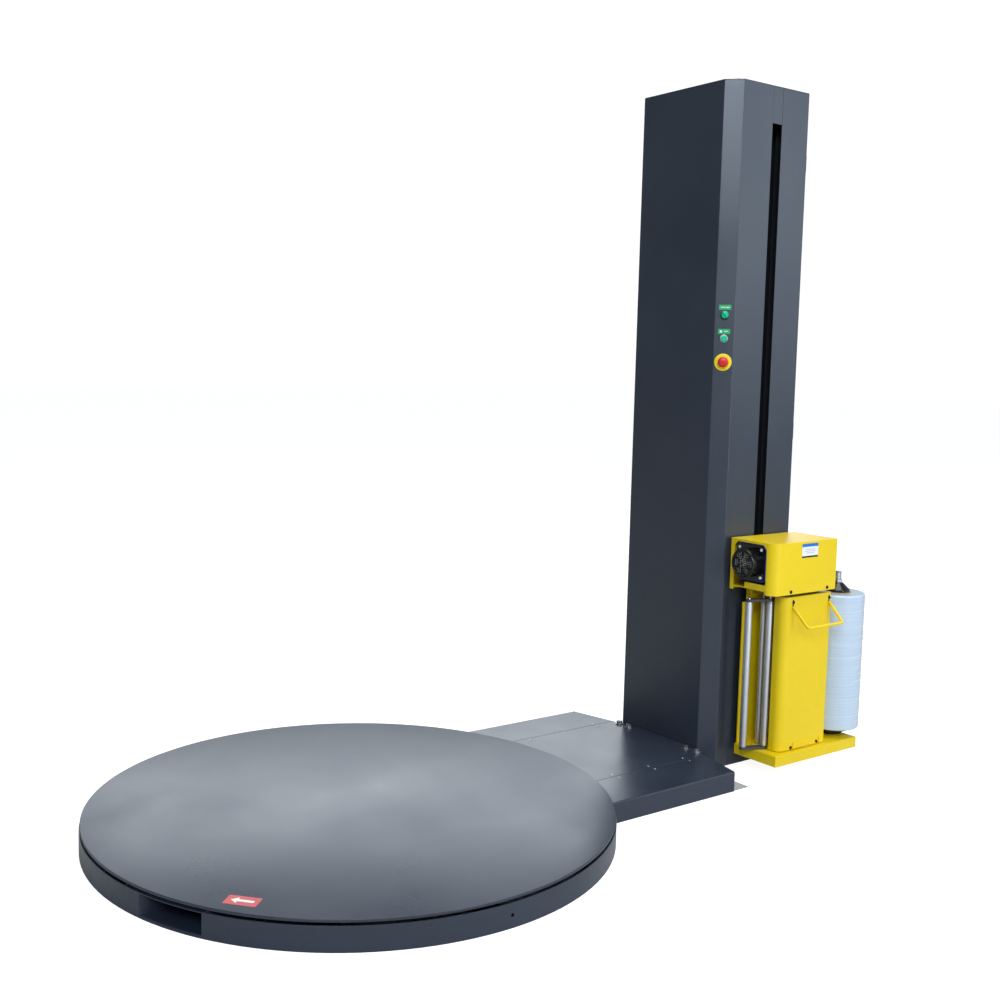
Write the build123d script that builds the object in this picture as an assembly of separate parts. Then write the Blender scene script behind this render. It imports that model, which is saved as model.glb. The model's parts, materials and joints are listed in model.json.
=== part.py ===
"""Turntable pallet wrapper: a low turntable, a drive deck, a slotted mast and a film carriage.

Origin: on the floor at the turntable's axis. +X runs from the turntable to the mast, +Z is up,
and the film carriage hangs in front of the mast's slotted face, on the -Y side. Millimetres.
"""
from build123d import *
from math import acos, cos, hypot, pi, radians, sin, sqrt, tan
import os

os.makedirs("parts", exist_ok=True)

# --- general fits ---
running_gap = 0.05          # radial gap of a shaft that turns in a hole
rolling_gap = 0.3           # between a wheel and what it rolls on
sheet = 3.0                 # folded sheet of the mast and the deck
fold_radius = 5.0           # outer radius of a fold in that sheet
small_round = 2.0
casting_round = 6.0
box_round = 8.0
cover_small_corner = 4.0    # small corners of the yellow covers

# --- turntable and its base ---
table_radius = 800.0
table_top = 83.0
table_thickness = 8.0
rim_gap = 7.0               # open line between the turntable and the skirt
skirt_overhang = 2.5        # how far the skirt stands outside the turntable
skirt_wall = 4.0
skirt_hole_radius = 5.0
skirt_hole_height = 35.0
hub_radius = 130.0
hub_thickness = 12.0
centre_pin_radius = 30.0
centre_sleeve_wall = 15.0
centre_flange_radius = 110.0
centre_flange_thickness = 10.0
sleeve_bottom = 34.0
bearing_gap = 0.3
beam_width = 50.0
beam_height = 24.0
cross_beam_x = 400.0
wheel_track_radius = 620.0
wheel_count = 4
wheel_radius = 22.0
wheel_width = 28.0
wheel_axle_radius = 6.0
bracket_wall = 6.0
bracket_base = 4.0
bracket_width = 36.0
bracket_side_gap = 1.0

# --- fork pockets ---
fork_inner_y = 242.0        # nearest side of a pocket to the centre line
fork_width = 188.0
fork_height = 56.0
fork_floor = 9.0
fork_wall = 3.0
fork_end_x = 450.0

# --- chain drives ---
chain_pitch = 19.05
chain_plate = 2.5
chain_half_height = 6.0
chain_pin_radius = 3.0
chain_pin_every = 4         # one modelled pin for this many links
sprocket_thickness = 8.0
chain_side_gap = 0.5
tooth_depth = 0.32          # tooth root and tip from the pitch circle, as shares of the pitch
tooth_height = 0.25
tooth_foot = 0.3            # half widths of a tooth's foot and crest, as shares of a tooth's turn
tooth_crest = 0.1
table_sprocket_teeth = 70
drive_sprocket_teeth = 17
lift_sprocket_teeth = 13
table_sprocket_bottom = 40.0
sprocket_hole_radius = 38.0
sprocket_hole_ring = 140.0
sprocket_hole_count = 6

# --- deck between turntable and mast ---
deck_half_width = 420.0
deck_top = 69.0
deck_corner_x = 76.0        # how far the deck's outer corners stop before the mast
deck_end_half = 110.0       # half width of the deck's end where it meets the mast
deck_mast_gap = 3.0
cover_half_width = 237.0
cover_seam = 1.0
deck_beam_positions = (0.2, 0.55, 0.9)     # along the deck, as shares of its length

# --- mast ---
mast_distance = 519.0       # from the turntable's edge to the mast's front face
mast_depth = 385.0          # along X
mast_width = 436.0          # along Y
mast_height = 2407.0
mast_chamfer = 48.0
mast_plate = 10.0
slot_offset = 222.0         # slot's centre line behind the mast's front face
slot_width = 50.0
slot_bottom = 60.0
slot_below_top = 128.0      # slot's upper end under the mast's top
filler_seam = 1.0
chain_notch_half = 105.0
door_gap = 2.0
cabinet_front_gap = 21.0
cabinet_back_gap = 64.0
cabinet_depth = 145.0
cabinet_bottom = 950.0
cabinet_height = 600.0

# --- guide rails and slider ---
guide_wheel_radius = 25.0
guide_wheel_width = 22.0
guide_wheel_inset = 4.0     # wheel inside the rail's open edge
guide_axle_radius = 8.0
rail_wall = 5.0
rail_flange = 35.0
rail_side_gap = 4.0
rail_y_offset = 83.0        # rail centre behind the slotted face
slider_wall = 8.0
slider_half_width = 58.0
slider_bottom = 140.0
slider_top = 640.0
slider_front_offset = 42.0  # slider's front plate behind the slotted face
cheek_depth = 68.0
guide_axle_inset = 60.0     # from the slider's ends to its axles
arm_side_gap = 3.0
arm_bottom = 180.0
arm_top = 620.0

# --- lift drive ---
lift_chain_y_offset = 173.0  # sprocket axis behind the slotted face
lift_below_top = 107.0      # upper sprocket's axis under the mast's top
lift_idler_z = 100.0
lift_shaft_radius = 10.0
lift_box = 100.0
lift_motor_radius = 49.0
lift_motor_length = 185.0
lift_bracket_wall = 8.0
lift_bracket_margin = 10.0
lift_box_offset = 34.0      # gearbox's near face behind the slot's centre line
lift_shaft_reach = 16.0
idler_stand_half = 30.0
idler_stand_reach = 21.0    # idler bracket's outer faces from the slot's centre line
shaft_end_gap = 2.0
chain_clamp_height = 40.0
chain_clamp_width = 20.0

# --- turntable drive ---
drive_offset = 91.0         # drive shaft behind the mast's front face
drive_shaft_radius = 12.0
drive_box = 110.0
drive_box_height = 100.0
drive_motor_radius = 65.0
drive_motor_length = 236.0
drive_stand_half = 88.0
drive_plate_top = 64.0
drive_plate = 8.0

# --- controls on the mast's chamfer, 22 mm series ---
control_hole_radius = 11.15
control_barrel_radius = 11.0
control_bore_radius = 9.0
control_bezel_radius = 14.7
control_bezel_height = 4.0
control_block = 30.0
control_block_depth = 45.0
selector_z = 1612.0
start_z = 1530.0
estop_z = 1449.0
knob_radius = 12.3
knob_height = 14.0
knob_grip_share = 1.7       # grip's length as a share of the knob's radius
start_cap_radius = 10.3
start_cap_height = 3.0
start_travel = 4.0
estop_disc_radius = 30.0
estop_disc_thickness = 2.0
estop_head_radius = 18.0
estop_head_height = 16.0
estop_head_round = 5.0
estop_travel = 5.0

# --- film carriage ---
film_width = 500.0
film_radius = 98.0
core_outer_radius = 47.5
core_inner_radius = 38.0
core_overhang = 2.0
mandrel_gap = 0.5
spindle_radius = 10.5
spindle_above = 74.0        # spindle end above the core
clamp_radius = 43.0
clamp_top_radius = 17.0
clamp_height = 32.0
mandrel_disc_radius = 62.0
mandrel_disc_thickness = 12.0
mandrel_hub_radius = 40.0
tray_gap = 26.0             # tray behind edge to the mast's slotted face
tray_depth = 189.0
tray_length = 446.0
tray_left_offset = 109.0    # tray's left end before the slot's centre line
tray_bottom = 52.0
tray_top = 90.0
tray_sheet = 4.0
roll_above_tray = 28.0
roll_from_tray_end = 29.0
roll_from_tray_rear = 95.0
back_plate_thickness = 5.0
back_plate_inset = 9.0      # from the tray's left end
back_plate_length = 294.0
back_plate_drop = 64.0      # its ears' tops below the upper plate
back_plate_notch = 19.0
upper_plate_above_roll = 47.0
upper_plate_thickness = 4.0
upper_plate_overhang = 44.0  # upper plate's left end outside the tray's
upper_plate_length = 317.0
upper_plate_depth = 156.0
upper_lip_height = 18.0
upper_lip_length = 95.0
upper_plate_rear = 8.0      # upper plate's rear edge behind the tray's

# --- motor cover ---
cover_sheet = 2.0
cover_mast_gap = 14.0
cover_length = 332.0
cover_depth = 197.0
cover_below_plate = 11.0
cover_height = 181.0
cover_corner = 40.0
window_side = 16.0
window_front = 38.0
window_top = 9.0
window_cut = 15.0

# --- stretch motor with its fan ---
motor_from_plate = 90.0     # motor axis above the upper plate's top
motor_radius = 56.0
motor_flange = 130.0
motor_flange_thickness = 10.0
fan_plate = 124.0
fan_plate_thickness = 6.0
fan_plate_cut = 14.0
cowl_radius = 50.0
cowl_length = 41.0
cowl_wall = 2.0
cowl_left_offset = 40.0     # cowl's face outside the motor cover
grille_hole_radius = 2.7
grille_pitch = 7.5
grille_radius = 41.0
fan_radius = 43.0
fan_hub_radius = 14.0
fan_blades = 6
fan_width = 22.0
fan_shaft_radius = 6.0
stretch_box = 96.0
stretch_box_cut = 8.0       # how much shorter the gearbox is on its right
fan_bolt_reach = 48.3       # fan plate's corner bolts from its axis, each way
fan_blade_thickness = 3.0

# --- front cover and its handle ---
front_face_gap = 19.0       # front cover's face behind the motor cover's face
front_cover_left = 40.0     # front cover's left end behind the tray's
front_cover_length = 248.0
front_cover_side = 46.0
front_cover_top_gap = 25.0  # under the upper plate
front_cover_corner = 30.0
keyhole_inset = 11.0
keyhole_width = 7.0
keyhole_height = 23.0
handle_rod_radius = 5.5
handle_drop = 64.0
handle_reach = 66.0
handle_corner = 12.0
handle_half_width = 97.0
handle_lean = 3.0           # how far its sides lean inward
handle_below_top = 35.0     # its ends under the front cover's top
handle_shift = 16.0         # its middle to the right of the front cover's
front_floor_gap = 2.0       # front cover above the tray

# --- rollers ---
roller_floor_gap = 10.0
roller_over_roll = 10.0     # rollers end this far above the film
stretch_y_offset = 10.0     # stretch rollers in front of the motor's axis
gearbox_shaft = 30.0        # slow roller's shaft inside the gearbox
gearbox_bore = 34.0
stretch_roller_radius = 32.0
stretch_shaft_radius = 8.0
fast_roller_x = 148.0       # fast roller's axis from the tray's left end
gear_module = 2.5
slow_gear_teeth = 42
fast_gear_teeth = 18
gear_thickness = 14.0
gear_backlash = 0.3
pressure_angle = radians(20.0)
idle_roller_radius = 11.0
idle_roller_short = 20.0    # how much lower the idle roller's top is
guide_roller_radius = 12.5
roller_shaft_radius = 6.0
idle_roller_x = 58.0        # from the tray's left end
idle_roller_y = 58.0        # from the tray's rear edge
pivot_x = 42.0
pivot_y = 98.0
dancer_reach_x = 76.0
dancer_reach_y = 29.0
dancer_bar_width = 24.0
dancer_bar_thickness = 8.0
dancer_floor_gap = 1.5
dancer_bar_gap = 1.5        # between a dancer bar and the rollers
dancer_over_roll = 1.0      # upper bar's underside above the film

# --- fasteners ---
foot_bolt_radius = 10.0
foot_bolt_height = 9.0
foot_bolt_washer = 15.0
foot_bolt_y = (-200.0, -148.0, 148.0, 200.0)
foot_bolt_x = 34.0          # in front of the mast
cap_bolt_radius = 6.0
cap_bolt_height = 5.0
cap_bolt_inset = 28.0
screw_radius = 4.5
fan_screw_radius = 3.5
screw_height = 2.5
cover_screw_x = (90.0, 284.0)   # from the motor cover's left end
cover_screw_rise = 10.0
front_screw_x = (65.0, 205.0)    # from the front cover's left end
front_screw_rise = 8.0
gland_radius = 14.0
gland_length = 24.0
gland_neck_share = 0.7      # neck and bore, as shares of the gland's radius
gland_bore_share = 0.35
gland_z = 130.0

# --- derived places ---
skirt_radius = table_radius + skirt_overhang
plate_bottom = table_top - table_thickness
skirt_top = plate_bottom - rim_gap
fork_outer_low = fork_inner_y - fork_wall
fork_outer_high = fork_inner_y + fork_width + fork_wall
mast_front = table_radius + mast_distance
mast_back = mast_front + mast_depth
mast_side = mast_width / 2
panel_top = mast_height - sheet
slot_top = mast_height - slot_below_top
lift_top_z = mast_height - lift_below_top
fold_inner_radius = fold_radius - sheet
slot_x = mast_front + slot_offset
deck_end = mast_front - deck_mast_gap
deck_corner = mast_front - deck_corner_x
wheel_centre_z = plate_bottom - rolling_gap - wheel_radius
rail_y = -mast_side + rail_y_offset
slider_front = -mast_side + slider_front_offset
lift_y = -mast_side + lift_chain_y_offset
tray_left = slot_x - tray_left_offset
tray_right = tray_left + tray_length
tray_rear = -mast_side - tray_gap
tray_front = tray_rear - tray_depth
roll_bottom = tray_top + roll_above_tray + core_overhang
roll_top = roll_bottom + film_width
roll_x = tray_right - roll_from_tray_end
roll_y = tray_rear - roll_from_tray_rear
upper_bottom = roll_top + upper_plate_above_roll
upper_top = upper_bottom + upper_plate_thickness
upper_left = tray_left - upper_plate_overhang
motor_cover_left = upper_left - sheet
motor_cover_rear = -mast_side - cover_mast_gap
motor_cover_front = motor_cover_rear - cover_depth
motor_cover_bottom = upper_bottom - cover_below_plate
motor_cover_top = motor_cover_bottom + cover_height
front_face = motor_cover_front + front_face_gap
front_left = tray_left + front_cover_left
front_right = front_left + front_cover_length
front_bottom = tray_top + front_floor_gap
front_top = upper_bottom - front_cover_top_gap
motor_y = (motor_cover_rear - window_side + motor_cover_front + window_front) / 2
motor_z = upper_top + motor_from_plate
cowl_left = motor_cover_left - cowl_left_offset
fan_plate_left = cowl_left + cowl_length
flange_left = fan_plate_left + fan_plate_thickness
motor_left = flange_left + motor_flange_thickness
gear_distance = gear_module * (slow_gear_teeth + fast_gear_teeth) / 2
fast_x = tray_left + fast_roller_x
slow_x = fast_x + gear_distance
stretch_y = motor_y - stretch_y_offset
roller_bottom = tray_top + roller_floor_gap
roller_top = roll_top + roller_over_roll
idle_x = tray_left + idle_roller_x
idle_y = tray_rear - idle_roller_y
dancer_x = tray_left + pivot_x
dancer_y = tray_rear - pivot_y
swing_x = dancer_x - dancer_reach_x
swing_y = dancer_y + dancer_reach_y
dancer_bottom = tray_top + dancer_floor_gap
dancer_top = roll_top + dancer_over_roll
handle_x = (front_left + front_right) / 2 + handle_shift
handle_z = front_top - handle_below_top
chamfer_x = mast_front + mast_chamfer / 2
chamfer_y = -mast_side + mast_chamfer / 2
drive_x = mast_front + drive_offset
table_sprocket_radius = chain_pitch / (2 * sin(pi / table_sprocket_teeth))
drive_sprocket_radius = chain_pitch / (2 * sin(pi / drive_sprocket_teeth))
lift_sprocket_radius = chain_pitch / (2 * sin(pi / lift_sprocket_teeth))


# --- helpers ---
def block(x0, x1, y0, y1, z0, z1):
    """A box between two corners."""
    return Pos((x0 + x1) / 2, (y0 + y1) / 2, (z0 + z1) / 2) * Box(x1 - x0, y1 - y0, z1 - z0)


def post(x, y, z0, z1, radius):
    """An upright cylinder."""
    return Pos(x, y, (z0 + z1) / 2) * Cylinder(radius, z1 - z0)


def rod_x(x0, x1, y, z, radius):
    """A cylinder along X."""
    return Pos((x0 + x1) / 2, y, z) * Rot(0, 90, 0) * Cylinder(radius, x1 - x0)


def rod_y(x, y0, y1, z, radius):
    """A cylinder along Y."""
    return Pos(x, (y0 + y1) / 2, z) * Rot(90, 0, 0) * Cylinder(radius, y1 - y0)


def ring(x, y, z0, z1, outer, inner):
    """An upright tube."""
    return post(x, y, z0, z1, outer) - post(x, y, z0, z1, inner)


def prism(points, z0, z1):
    """An upright prism on a closed outline."""
    return Pos(0, 0, z0) * extrude(make_face(Polyline(*points, close=True)), z1 - z0)


def prism_x(points, x0, x1):
    """A prism along X on an outline given as (y, z) pairs."""
    plane = Plane(origin=(x0, 0, 0), x_dir=(0, 1, 0), z_dir=(1, 0, 0))
    return extrude(plane * make_face(Polyline(*points, close=True)), x1 - x0)


def edge_at(shape, x, y):
    """The upright edge nearest to a point in plan."""
    upright = shape.edges().filter_by(Axis.Z)
    return upright.sort_by(lambda e: hypot(e.center().X - x, e.center().Y - y))[0]


def save(name, *shapes):
    """Write one sub-part, keeping its separate solids apart."""
    solids = [solid for shape in shapes for solid in shape.solids()]
    export_step(Compound(solids), f"parts/{name}.step")


def sprocket(teeth, thickness, bore):
    """A chain wheel about Z, on the plane z = 0, with plain tapered teeth."""
    pitch_radius = chain_pitch / (2 * sin(pi / teeth))
    root, tip = pitch_radius - tooth_depth * chain_pitch, pitch_radius + tooth_height * chain_pitch
    step = 2 * pi / teeth
    profile = ((-tooth_foot, root), (-tooth_crest, tip), (tooth_crest, tip), (tooth_foot, root))
    points = [(radius * cos((i + share) * step), radius * sin((i + share) * step))
              for i in range(teeth) for share, radius in profile]
    return prism(points, 0, thickness) - post(0, 0, 0, thickness, bore)


def gear(teeth, thickness):
    """An involute spur gear about Z, on the plane z = 0, with a tooth on +X."""
    pitch_radius = gear_module * teeth / 2
    base = pitch_radius * cos(pressure_angle)
    root, tip = pitch_radius - 1.25 * gear_module, pitch_radius + gear_module
    half = pi / (2 * teeth) - gear_backlash / (2 * pitch_radius)
    start = max(base, root)
    radii = [root] * (base > root) + [start + (tip - start) * i / 4 for i in range(5)]

    def half_angle(radius):
        lean = acos(min(1.0, base / radius))
        return half + tan(pressure_angle) - pressure_angle - tan(lean) + lean

    flank = [(half_angle(radius), radius) for radius in radii]
    profile = [(-angle, radius) for angle, radius in flank] + flank[::-1]
    step = 2 * pi / teeth
    points = [(radius * cos(i * step + angle), radius * sin(i * step + angle))
              for i in range(teeth) for angle, radius in profile]
    return prism(points, 0, thickness)


def belt_region(big, small, distance, grow, thickness):
    """The space inside a belt round two wheels on +X, its line moved outward by grow."""
    lean = acos((big - small) / distance)
    near = (big + grow) * cos(lean), (big + grow) * sin(lean)
    far = distance + (small + grow) * cos(lean), (small + grow) * sin(lean)
    span = prism([near, far, (far[0], -far[1]), (near[0], -near[1])], 0, thickness)
    return span + post(0, 0, 0, thickness, big + grow) + post(distance, 0, 0, thickness, small + grow)


def chain(big, small, distance):
    """A roller chain about z = 0: two rows of side plates, with pins on the straight runs."""
    half = sprocket_thickness / 2 + chain_side_gap
    row = (belt_region(big, small, distance, chain_half_height, chain_plate)
           - belt_region(big, small, distance, -chain_half_height, chain_plate))
    rows = Pos(0, 0, half) * row + Pos(0, 0, -half - chain_plate) * row
    lean = acos((big - small) / distance)
    run = sqrt(distance ** 2 - (big - small) ** 2)
    start = big * cos(lean), big * sin(lean)
    step = chain_pin_every * chain_pitch
    clear = 2 * sqrt(big * chain_half_height)    # pins keep this far from the wheels' teeth
    count = int((run - 2 * clear) / step) + 1
    pins = []
    for i in range(count):
        along = clear + i * step
        x, y = start[0] + along * sin(lean), start[1] - along * cos(lean)
        for side in (1, -1):
            pins.append(post(x, side * y, -half, half, chain_pin_radius))
    return rows + pins


# --- base and deck ---
def fork_prism(side, inner):
    """A fork pocket's outer or inner space, on one side of the centre line."""
    grow = 0.0 if inner else fork_wall
    low, high = fork_inner_y - grow, fork_inner_y + fork_width + grow
    z0, z1 = fork_floor - grow, fork_floor + fork_height + grow
    y0, y1 = (low, high) if side > 0 else (-high, -low)
    return block(-skirt_radius - skirt_wall, fork_end_x, y0, y1, z0, z1)


def make_base():
    """The skirt, the fork pockets, the frame under the turntable and the centre bearing."""
    skirt = ring(0, 0, 0, skirt_top, skirt_radius, skirt_radius - skirt_wall)
    inside = deck_half_width - sheet
    skirt -= block(0, skirt_radius + skirt_wall, -inside, inside, -1, skirt_top + 1)
    skirt -= rod_y(0, -skirt_radius - skirt_wall, -skirt_radius / 2, skirt_hole_height, skirt_hole_radius)
    for side in (1, -1):
        skirt -= fork_prism(side, False)
    save("skirt_ring", skirt)

    rim = post(0, 0, 0, skirt_top + fork_wall, skirt_radius)
    save("fork_tubes", *[(fork_prism(side, False) & rim) - fork_prism(side, True) for side in (1, -1)])

    disc = post(0, 0, 0, hub_thickness, hub_radius)
    pin = post(0, 0, hub_thickness, plate_bottom - centre_flange_thickness, centre_pin_radius)
    collar = centre_pin_radius + centre_sleeve_wall
    bearing = ring(0, 0, hub_thickness, sleeve_bottom - bearing_gap, collar, centre_pin_radius)
    save("base_hub", disc + pin, bearing)

    half = beam_width / 2
    hub_start = collar + half / 2
    inside_radius = skirt_radius - skirt_wall
    keep = post(0, 0, 0, beam_height, inside_radius)
    beams = [block(hub_start, mast_front - deck_mast_gap, -half, half, 0, beam_height) - disc,
             (block(-skirt_radius, -hub_start, -half, half, 0, beam_height) & keep) - disc]
    for side in (1, -1):
        for x in (-cross_beam_x, 0.0, cross_beam_x):
            start = hub_start if x == 0 else half
            spans = ((start, fork_outer_low), (fork_outer_high, skirt_radius))
            for low, high in spans:
                y0, y1 = (low, high) if side > 0 else (-high, -low)
                beams.append((block(x - half, x + half, y0, y1, 0, beam_height) & keep) - disc)
    reach = deck_corner - skirt_radius
    for share in deck_beam_positions:
        x = skirt_radius + share * reach
        for side in (1, -1):
            y0, y1 = sorted((side * half, side * (deck_half_width - sheet)))
            beams.append(block(x - half, x + half, y0, y1, 0, beam_height))
    for side in (1, -1):
        y0, y1 = sorted((side * (cover_half_width - 2 * sheet), side * (cover_half_width + 2 * sheet)))
        ledge = block(skirt_radius + half, deck_corner - half, y0, y1, beam_height, deck_top - sheet)
        beams.append(ledge)
    save("base_frame", *beams)


def make_wheels():
    """The support wheels, each on an axle that points at the turntable's axis."""
    reach = wheel_width / 2 + bracket_side_gap
    outer = reach + bracket_wall
    half = bracket_width / 2
    top = wheel_centre_z + wheel_axle_radius + bracket_wall
    bracket = block(-outer, outer, -half, half, beam_height, beam_height + bracket_base)
    for side in (1, -1):
        x0, x1 = sorted((side * reach, side * outer))
        bracket += block(x0, x1, -half, half, beam_height, top)
    bracket -= rod_x(-outer, outer, 0, wheel_centre_z, wheel_axle_radius)
    axle = rod_x(-outer, outer, 0, wheel_centre_z, wheel_axle_radius)
    wheel = rod_x(-wheel_width / 2, wheel_width / 2, 0, wheel_centre_z, wheel_radius)
    wheel = fillet(wheel.edges(), small_round)
    wheel -= rod_x(-wheel_width, wheel_width, 0, wheel_centre_z, wheel_axle_radius + running_gap)
    fixed = []
    for i in range(wheel_count):
        place = Rot(0, 0, 360 * i / wheel_count) * Pos(wheel_track_radius, 0, 0)
        fixed += [place * bracket, place * axle]
        save(f"support_wheel_{i + 1}", place * wheel)
    save("wheel_brackets", *fixed)


def deck_end_x(y):
    """The deck's slanted end edge at a distance y from the centre line."""
    share = (abs(y) - deck_end_half) / (deck_half_width - deck_end_half)
    return deck_end + share * (deck_corner - deck_end)


def make_deck():
    """The two folded side decks and the lift-off plate over the drive chain."""
    round_table = post(0, 0, -1, deck_top + 1, skirt_radius)
    shells = []
    for side in (1, -1):
        seam = side * (cover_half_width + cover_seam)
        edge = side * deck_half_width
        wall = side * (deck_half_width - sheet)
        top = prism([(0, seam), (deck_end_x(seam), seam), (deck_corner, edge), (0, edge)],
                    deck_top - sheet, deck_top)
        side_wall = block(0, deck_corner, min(edge, wall), max(edge, wall), 0, deck_top - sheet)
        end = side * deck_end_half
        end_wall = prism([(deck_corner - sheet, edge), (deck_corner, edge), (deck_end, end),
                          (deck_end - sheet, end)], 0, deck_top - sheet)
        shell = top + side_wall + end_wall
        outer_fold = shell.edges().filter_by(Axis.X).sort_by(lambda e: -side * e.center().Y - e.center().Z)[0]
        shell = fillet(outer_fold, fold_radius)
        shells.append(shell - round_table)
    save("deck_shells", *shells)
    y = cover_half_width
    outline = [(0, -y), (deck_end_x(y), -y), (deck_end, -deck_end_half), (deck_end, deck_end_half),
               (deck_end_x(y), y), (0, y)]
    save("deck_cover_plate", prism(outline, deck_top - sheet, deck_top)
         - post(0, 0, -1, deck_top + 1, skirt_radius + cover_seam))


# --- turntable and its drive ---
def make_turntable():
    """The turntable plate, and the hub and chain wheel under it."""
    plate = post(0, 0, plate_bottom, table_top, table_radius)
    plate = chamfer(plate.edges().sort_by(Axis.Z)[-1], 1.0)
    save("turntable_plate", plate)
    bore = centre_pin_radius + running_gap
    flange_bottom = plate_bottom - centre_flange_thickness
    hub = ring(0, 0, sleeve_bottom, flange_bottom, centre_pin_radius + centre_sleeve_wall, bore)
    hub += post(0, 0, flange_bottom, plate_bottom, centre_flange_radius)
    wheel = sprocket(table_sprocket_teeth, sprocket_thickness, centre_pin_radius + centre_sleeve_wall)
    for i in range(sprocket_hole_count):
        wheel -= (Rot(0, 0, 360 * i / sprocket_hole_count)
                  * post(sprocket_hole_ring, 0, 0, sprocket_thickness, sprocket_hole_radius))
    save("turntable_hub", hub, Pos(0, 0, table_sprocket_bottom) * wheel)


def make_drive():
    """The turntable's gearmotor in the mast's foot, its chain wheel and its chain."""
    shaft_top = drive_plate_top + drive_box_height / 2
    shaft = post(0, 0, table_sprocket_bottom - sheet, shaft_top, drive_shaft_radius)
    wheel = Pos(0, 0, table_sprocket_bottom) * sprocket(drive_sprocket_teeth, sprocket_thickness,
                                                        drive_shaft_radius)
    save("drive_sprocket", Pos(drive_x, 0, 0) * (shaft + wheel))

    half = drive_box / 2
    bore = post(drive_x, 0, 0, shaft_top + sheet, drive_shaft_radius + running_gap)
    box_top = drive_plate_top + drive_box_height
    box = block(drive_x - half, drive_x + half, -half, half, drive_plate_top, box_top)
    box = fillet(box.edges().filter_by(Axis.Z), box_round) - bore
    motor = post(drive_x, 0, box_top, box_top + drive_motor_length, drive_motor_radius)
    save("drive_gearmotor", box, fillet(motor.edges(), casting_round))

    low = table_sprocket_bottom + sprocket_thickness / 2
    save("drive_chain", Pos(0, 0, low) * chain(table_sprocket_radius, drive_sprocket_radius, drive_x))


# --- mast ---
def mast_outline(inset):
    """The mast's plan, with its one cut corner, moved inward by inset."""
    corner = inset * (sqrt(2) - 1)
    cut = mast_chamfer
    x0, x1, y0, y1 = mast_front + inset, mast_back - inset, -mast_side + inset, mast_side - inset
    return [(x0, y0 + cut - inset + corner), (x0 + cut - inset + corner, y0), (x1, y0), (x1, y1), (x0, y1)]


def control_place(z):
    """A control's frame on the mast's cut corner: its own +Z points outward."""
    return Plane(origin=(chamfer_x, chamfer_y, z), x_dir=(1, -1, 0), z_dir=(-1, -1, 0))


def make_mast():
    """The mast's sheet-metal panels, base plate, cap and bolts."""
    y0, y1 = -mast_side, mast_side
    slot_low, slot_high = slot_x - slot_width / 2, slot_x + slot_width / 2
    inner = sheet * (sqrt(2) - 1)
    cut = y0 + mast_chamfer, mast_front + mast_chamfer
    shell = prism([(mast_front, y1), (mast_front, cut[0]), (cut[1], y0), (slot_low, y0), (slot_low, y0 + sheet),
                   (cut[1] + inner, y0 + sheet), (mast_front + sheet, cut[0] + inner),
                   (mast_front + sheet, y1)], 0, panel_top)
    for x, y, radius in ((mast_front, cut[0], fold_radius), (cut[1], y0, fold_radius),
                         (mast_front + sheet, cut[0] + inner, fold_inner_radius),
                         (cut[1] + inner, y0 + sheet, fold_inner_radius)):
        shell = fillet(edge_at(shell, x, y), radius)
    shell -= block(mast_front - 1, mast_front + sheet + 1, -chain_notch_half, chain_notch_half,
                   -1, deck_top - sheet)
    for z in (selector_z, start_z, estop_z):
        shell -= control_place(z) * Cylinder(control_hole_radius, 4 * sheet)
    save("mast_front_shell", shell)

    right = block(slot_high, mast_back, y0, y0 + sheet, 0, panel_top)
    filler = [block(slot_low + filler_seam, slot_high - filler_seam, y0, y0 + sheet, z0, z1)
              for z0, z1 in ((slot_top, panel_top), (0, slot_bottom))]
    save("mast_slot_panels", right, *filler)

    save("mast_far_panel", block(mast_front + sheet, mast_back, y1 - sheet, y1, 0, panel_top))
    door = block(mast_back - sheet, mast_back, y0 + sheet + door_gap, y1 - sheet - door_gap,
                 mast_plate + door_gap, panel_top - door_gap)
    save("mast_rear_door", door)
    save("mast_top_cap", prism(mast_outline(0), panel_top, mast_height))

    inset = 4 * sheet
    plate = prism(mast_outline(inset), 0, mast_plate)
    half_x = drive_box / 2 + sheet
    stand = [plate]
    for side in (1, -1):
        ya, yb = sorted((side * (drive_stand_half - drive_plate), side * drive_stand_half))
        stand.append(block(drive_x - half_x, drive_x + half_x, ya, yb, mast_plate,
                           drive_plate_top - drive_plate))
    shelf = block(drive_x - half_x, drive_x + half_x, -drive_stand_half, drive_stand_half,
                  drive_plate_top - drive_plate, drive_plate_top)
    shelf -= post(drive_x, 0, 0, drive_plate_top + 1, drive_shaft_radius + sheet)
    save("mast_base", *stand, shelf)

    bolts = []
    for y in foot_bolt_y:
        x = mast_front - foot_bolt_x
        washer = post(x, y, deck_top, deck_top + sheet, foot_bolt_washer)
        head = Pos(x, y, deck_top + sheet) * extrude(RegularPolygon(foot_bolt_radius, 6), foot_bolt_height)
        bolts.append(washer + head)
    for x in (mast_front + mast_chamfer, mast_back - cap_bolt_inset):
        for y in (-mast_side + cap_bolt_inset, mast_side - cap_bolt_inset):
            bolts.append(Pos(x, y, mast_height) * extrude(RegularPolygon(cap_bolt_radius, 6), cap_bolt_height))
    save("mast_bolts", *bolts)

    gland_x = mast_back - 2 * cap_bolt_inset
    gland = rod_y(gland_x, y1, y1 + gland_length / 3, gland_z, gland_radius)
    neck = rod_y(gland_x, y1, y1 + gland_length, gland_z, gland_radius * gland_neck_share)
    bore = rod_y(gland_x, y1, y1 + gland_length, gland_z, gland_radius * gland_bore_share)
    save("power_inlet", gland + neck - bore)

    cabinet = block(mast_front + cabinet_front_gap, mast_back - cabinet_back_gap, y1 - sheet - cabinet_depth,
                    y1 - sheet, cabinet_bottom, cabinet_bottom + cabinet_height)
    save("electrical_cabinet", fillet(cabinet.edges().filter_by(Axis.Z), casting_round))


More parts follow.
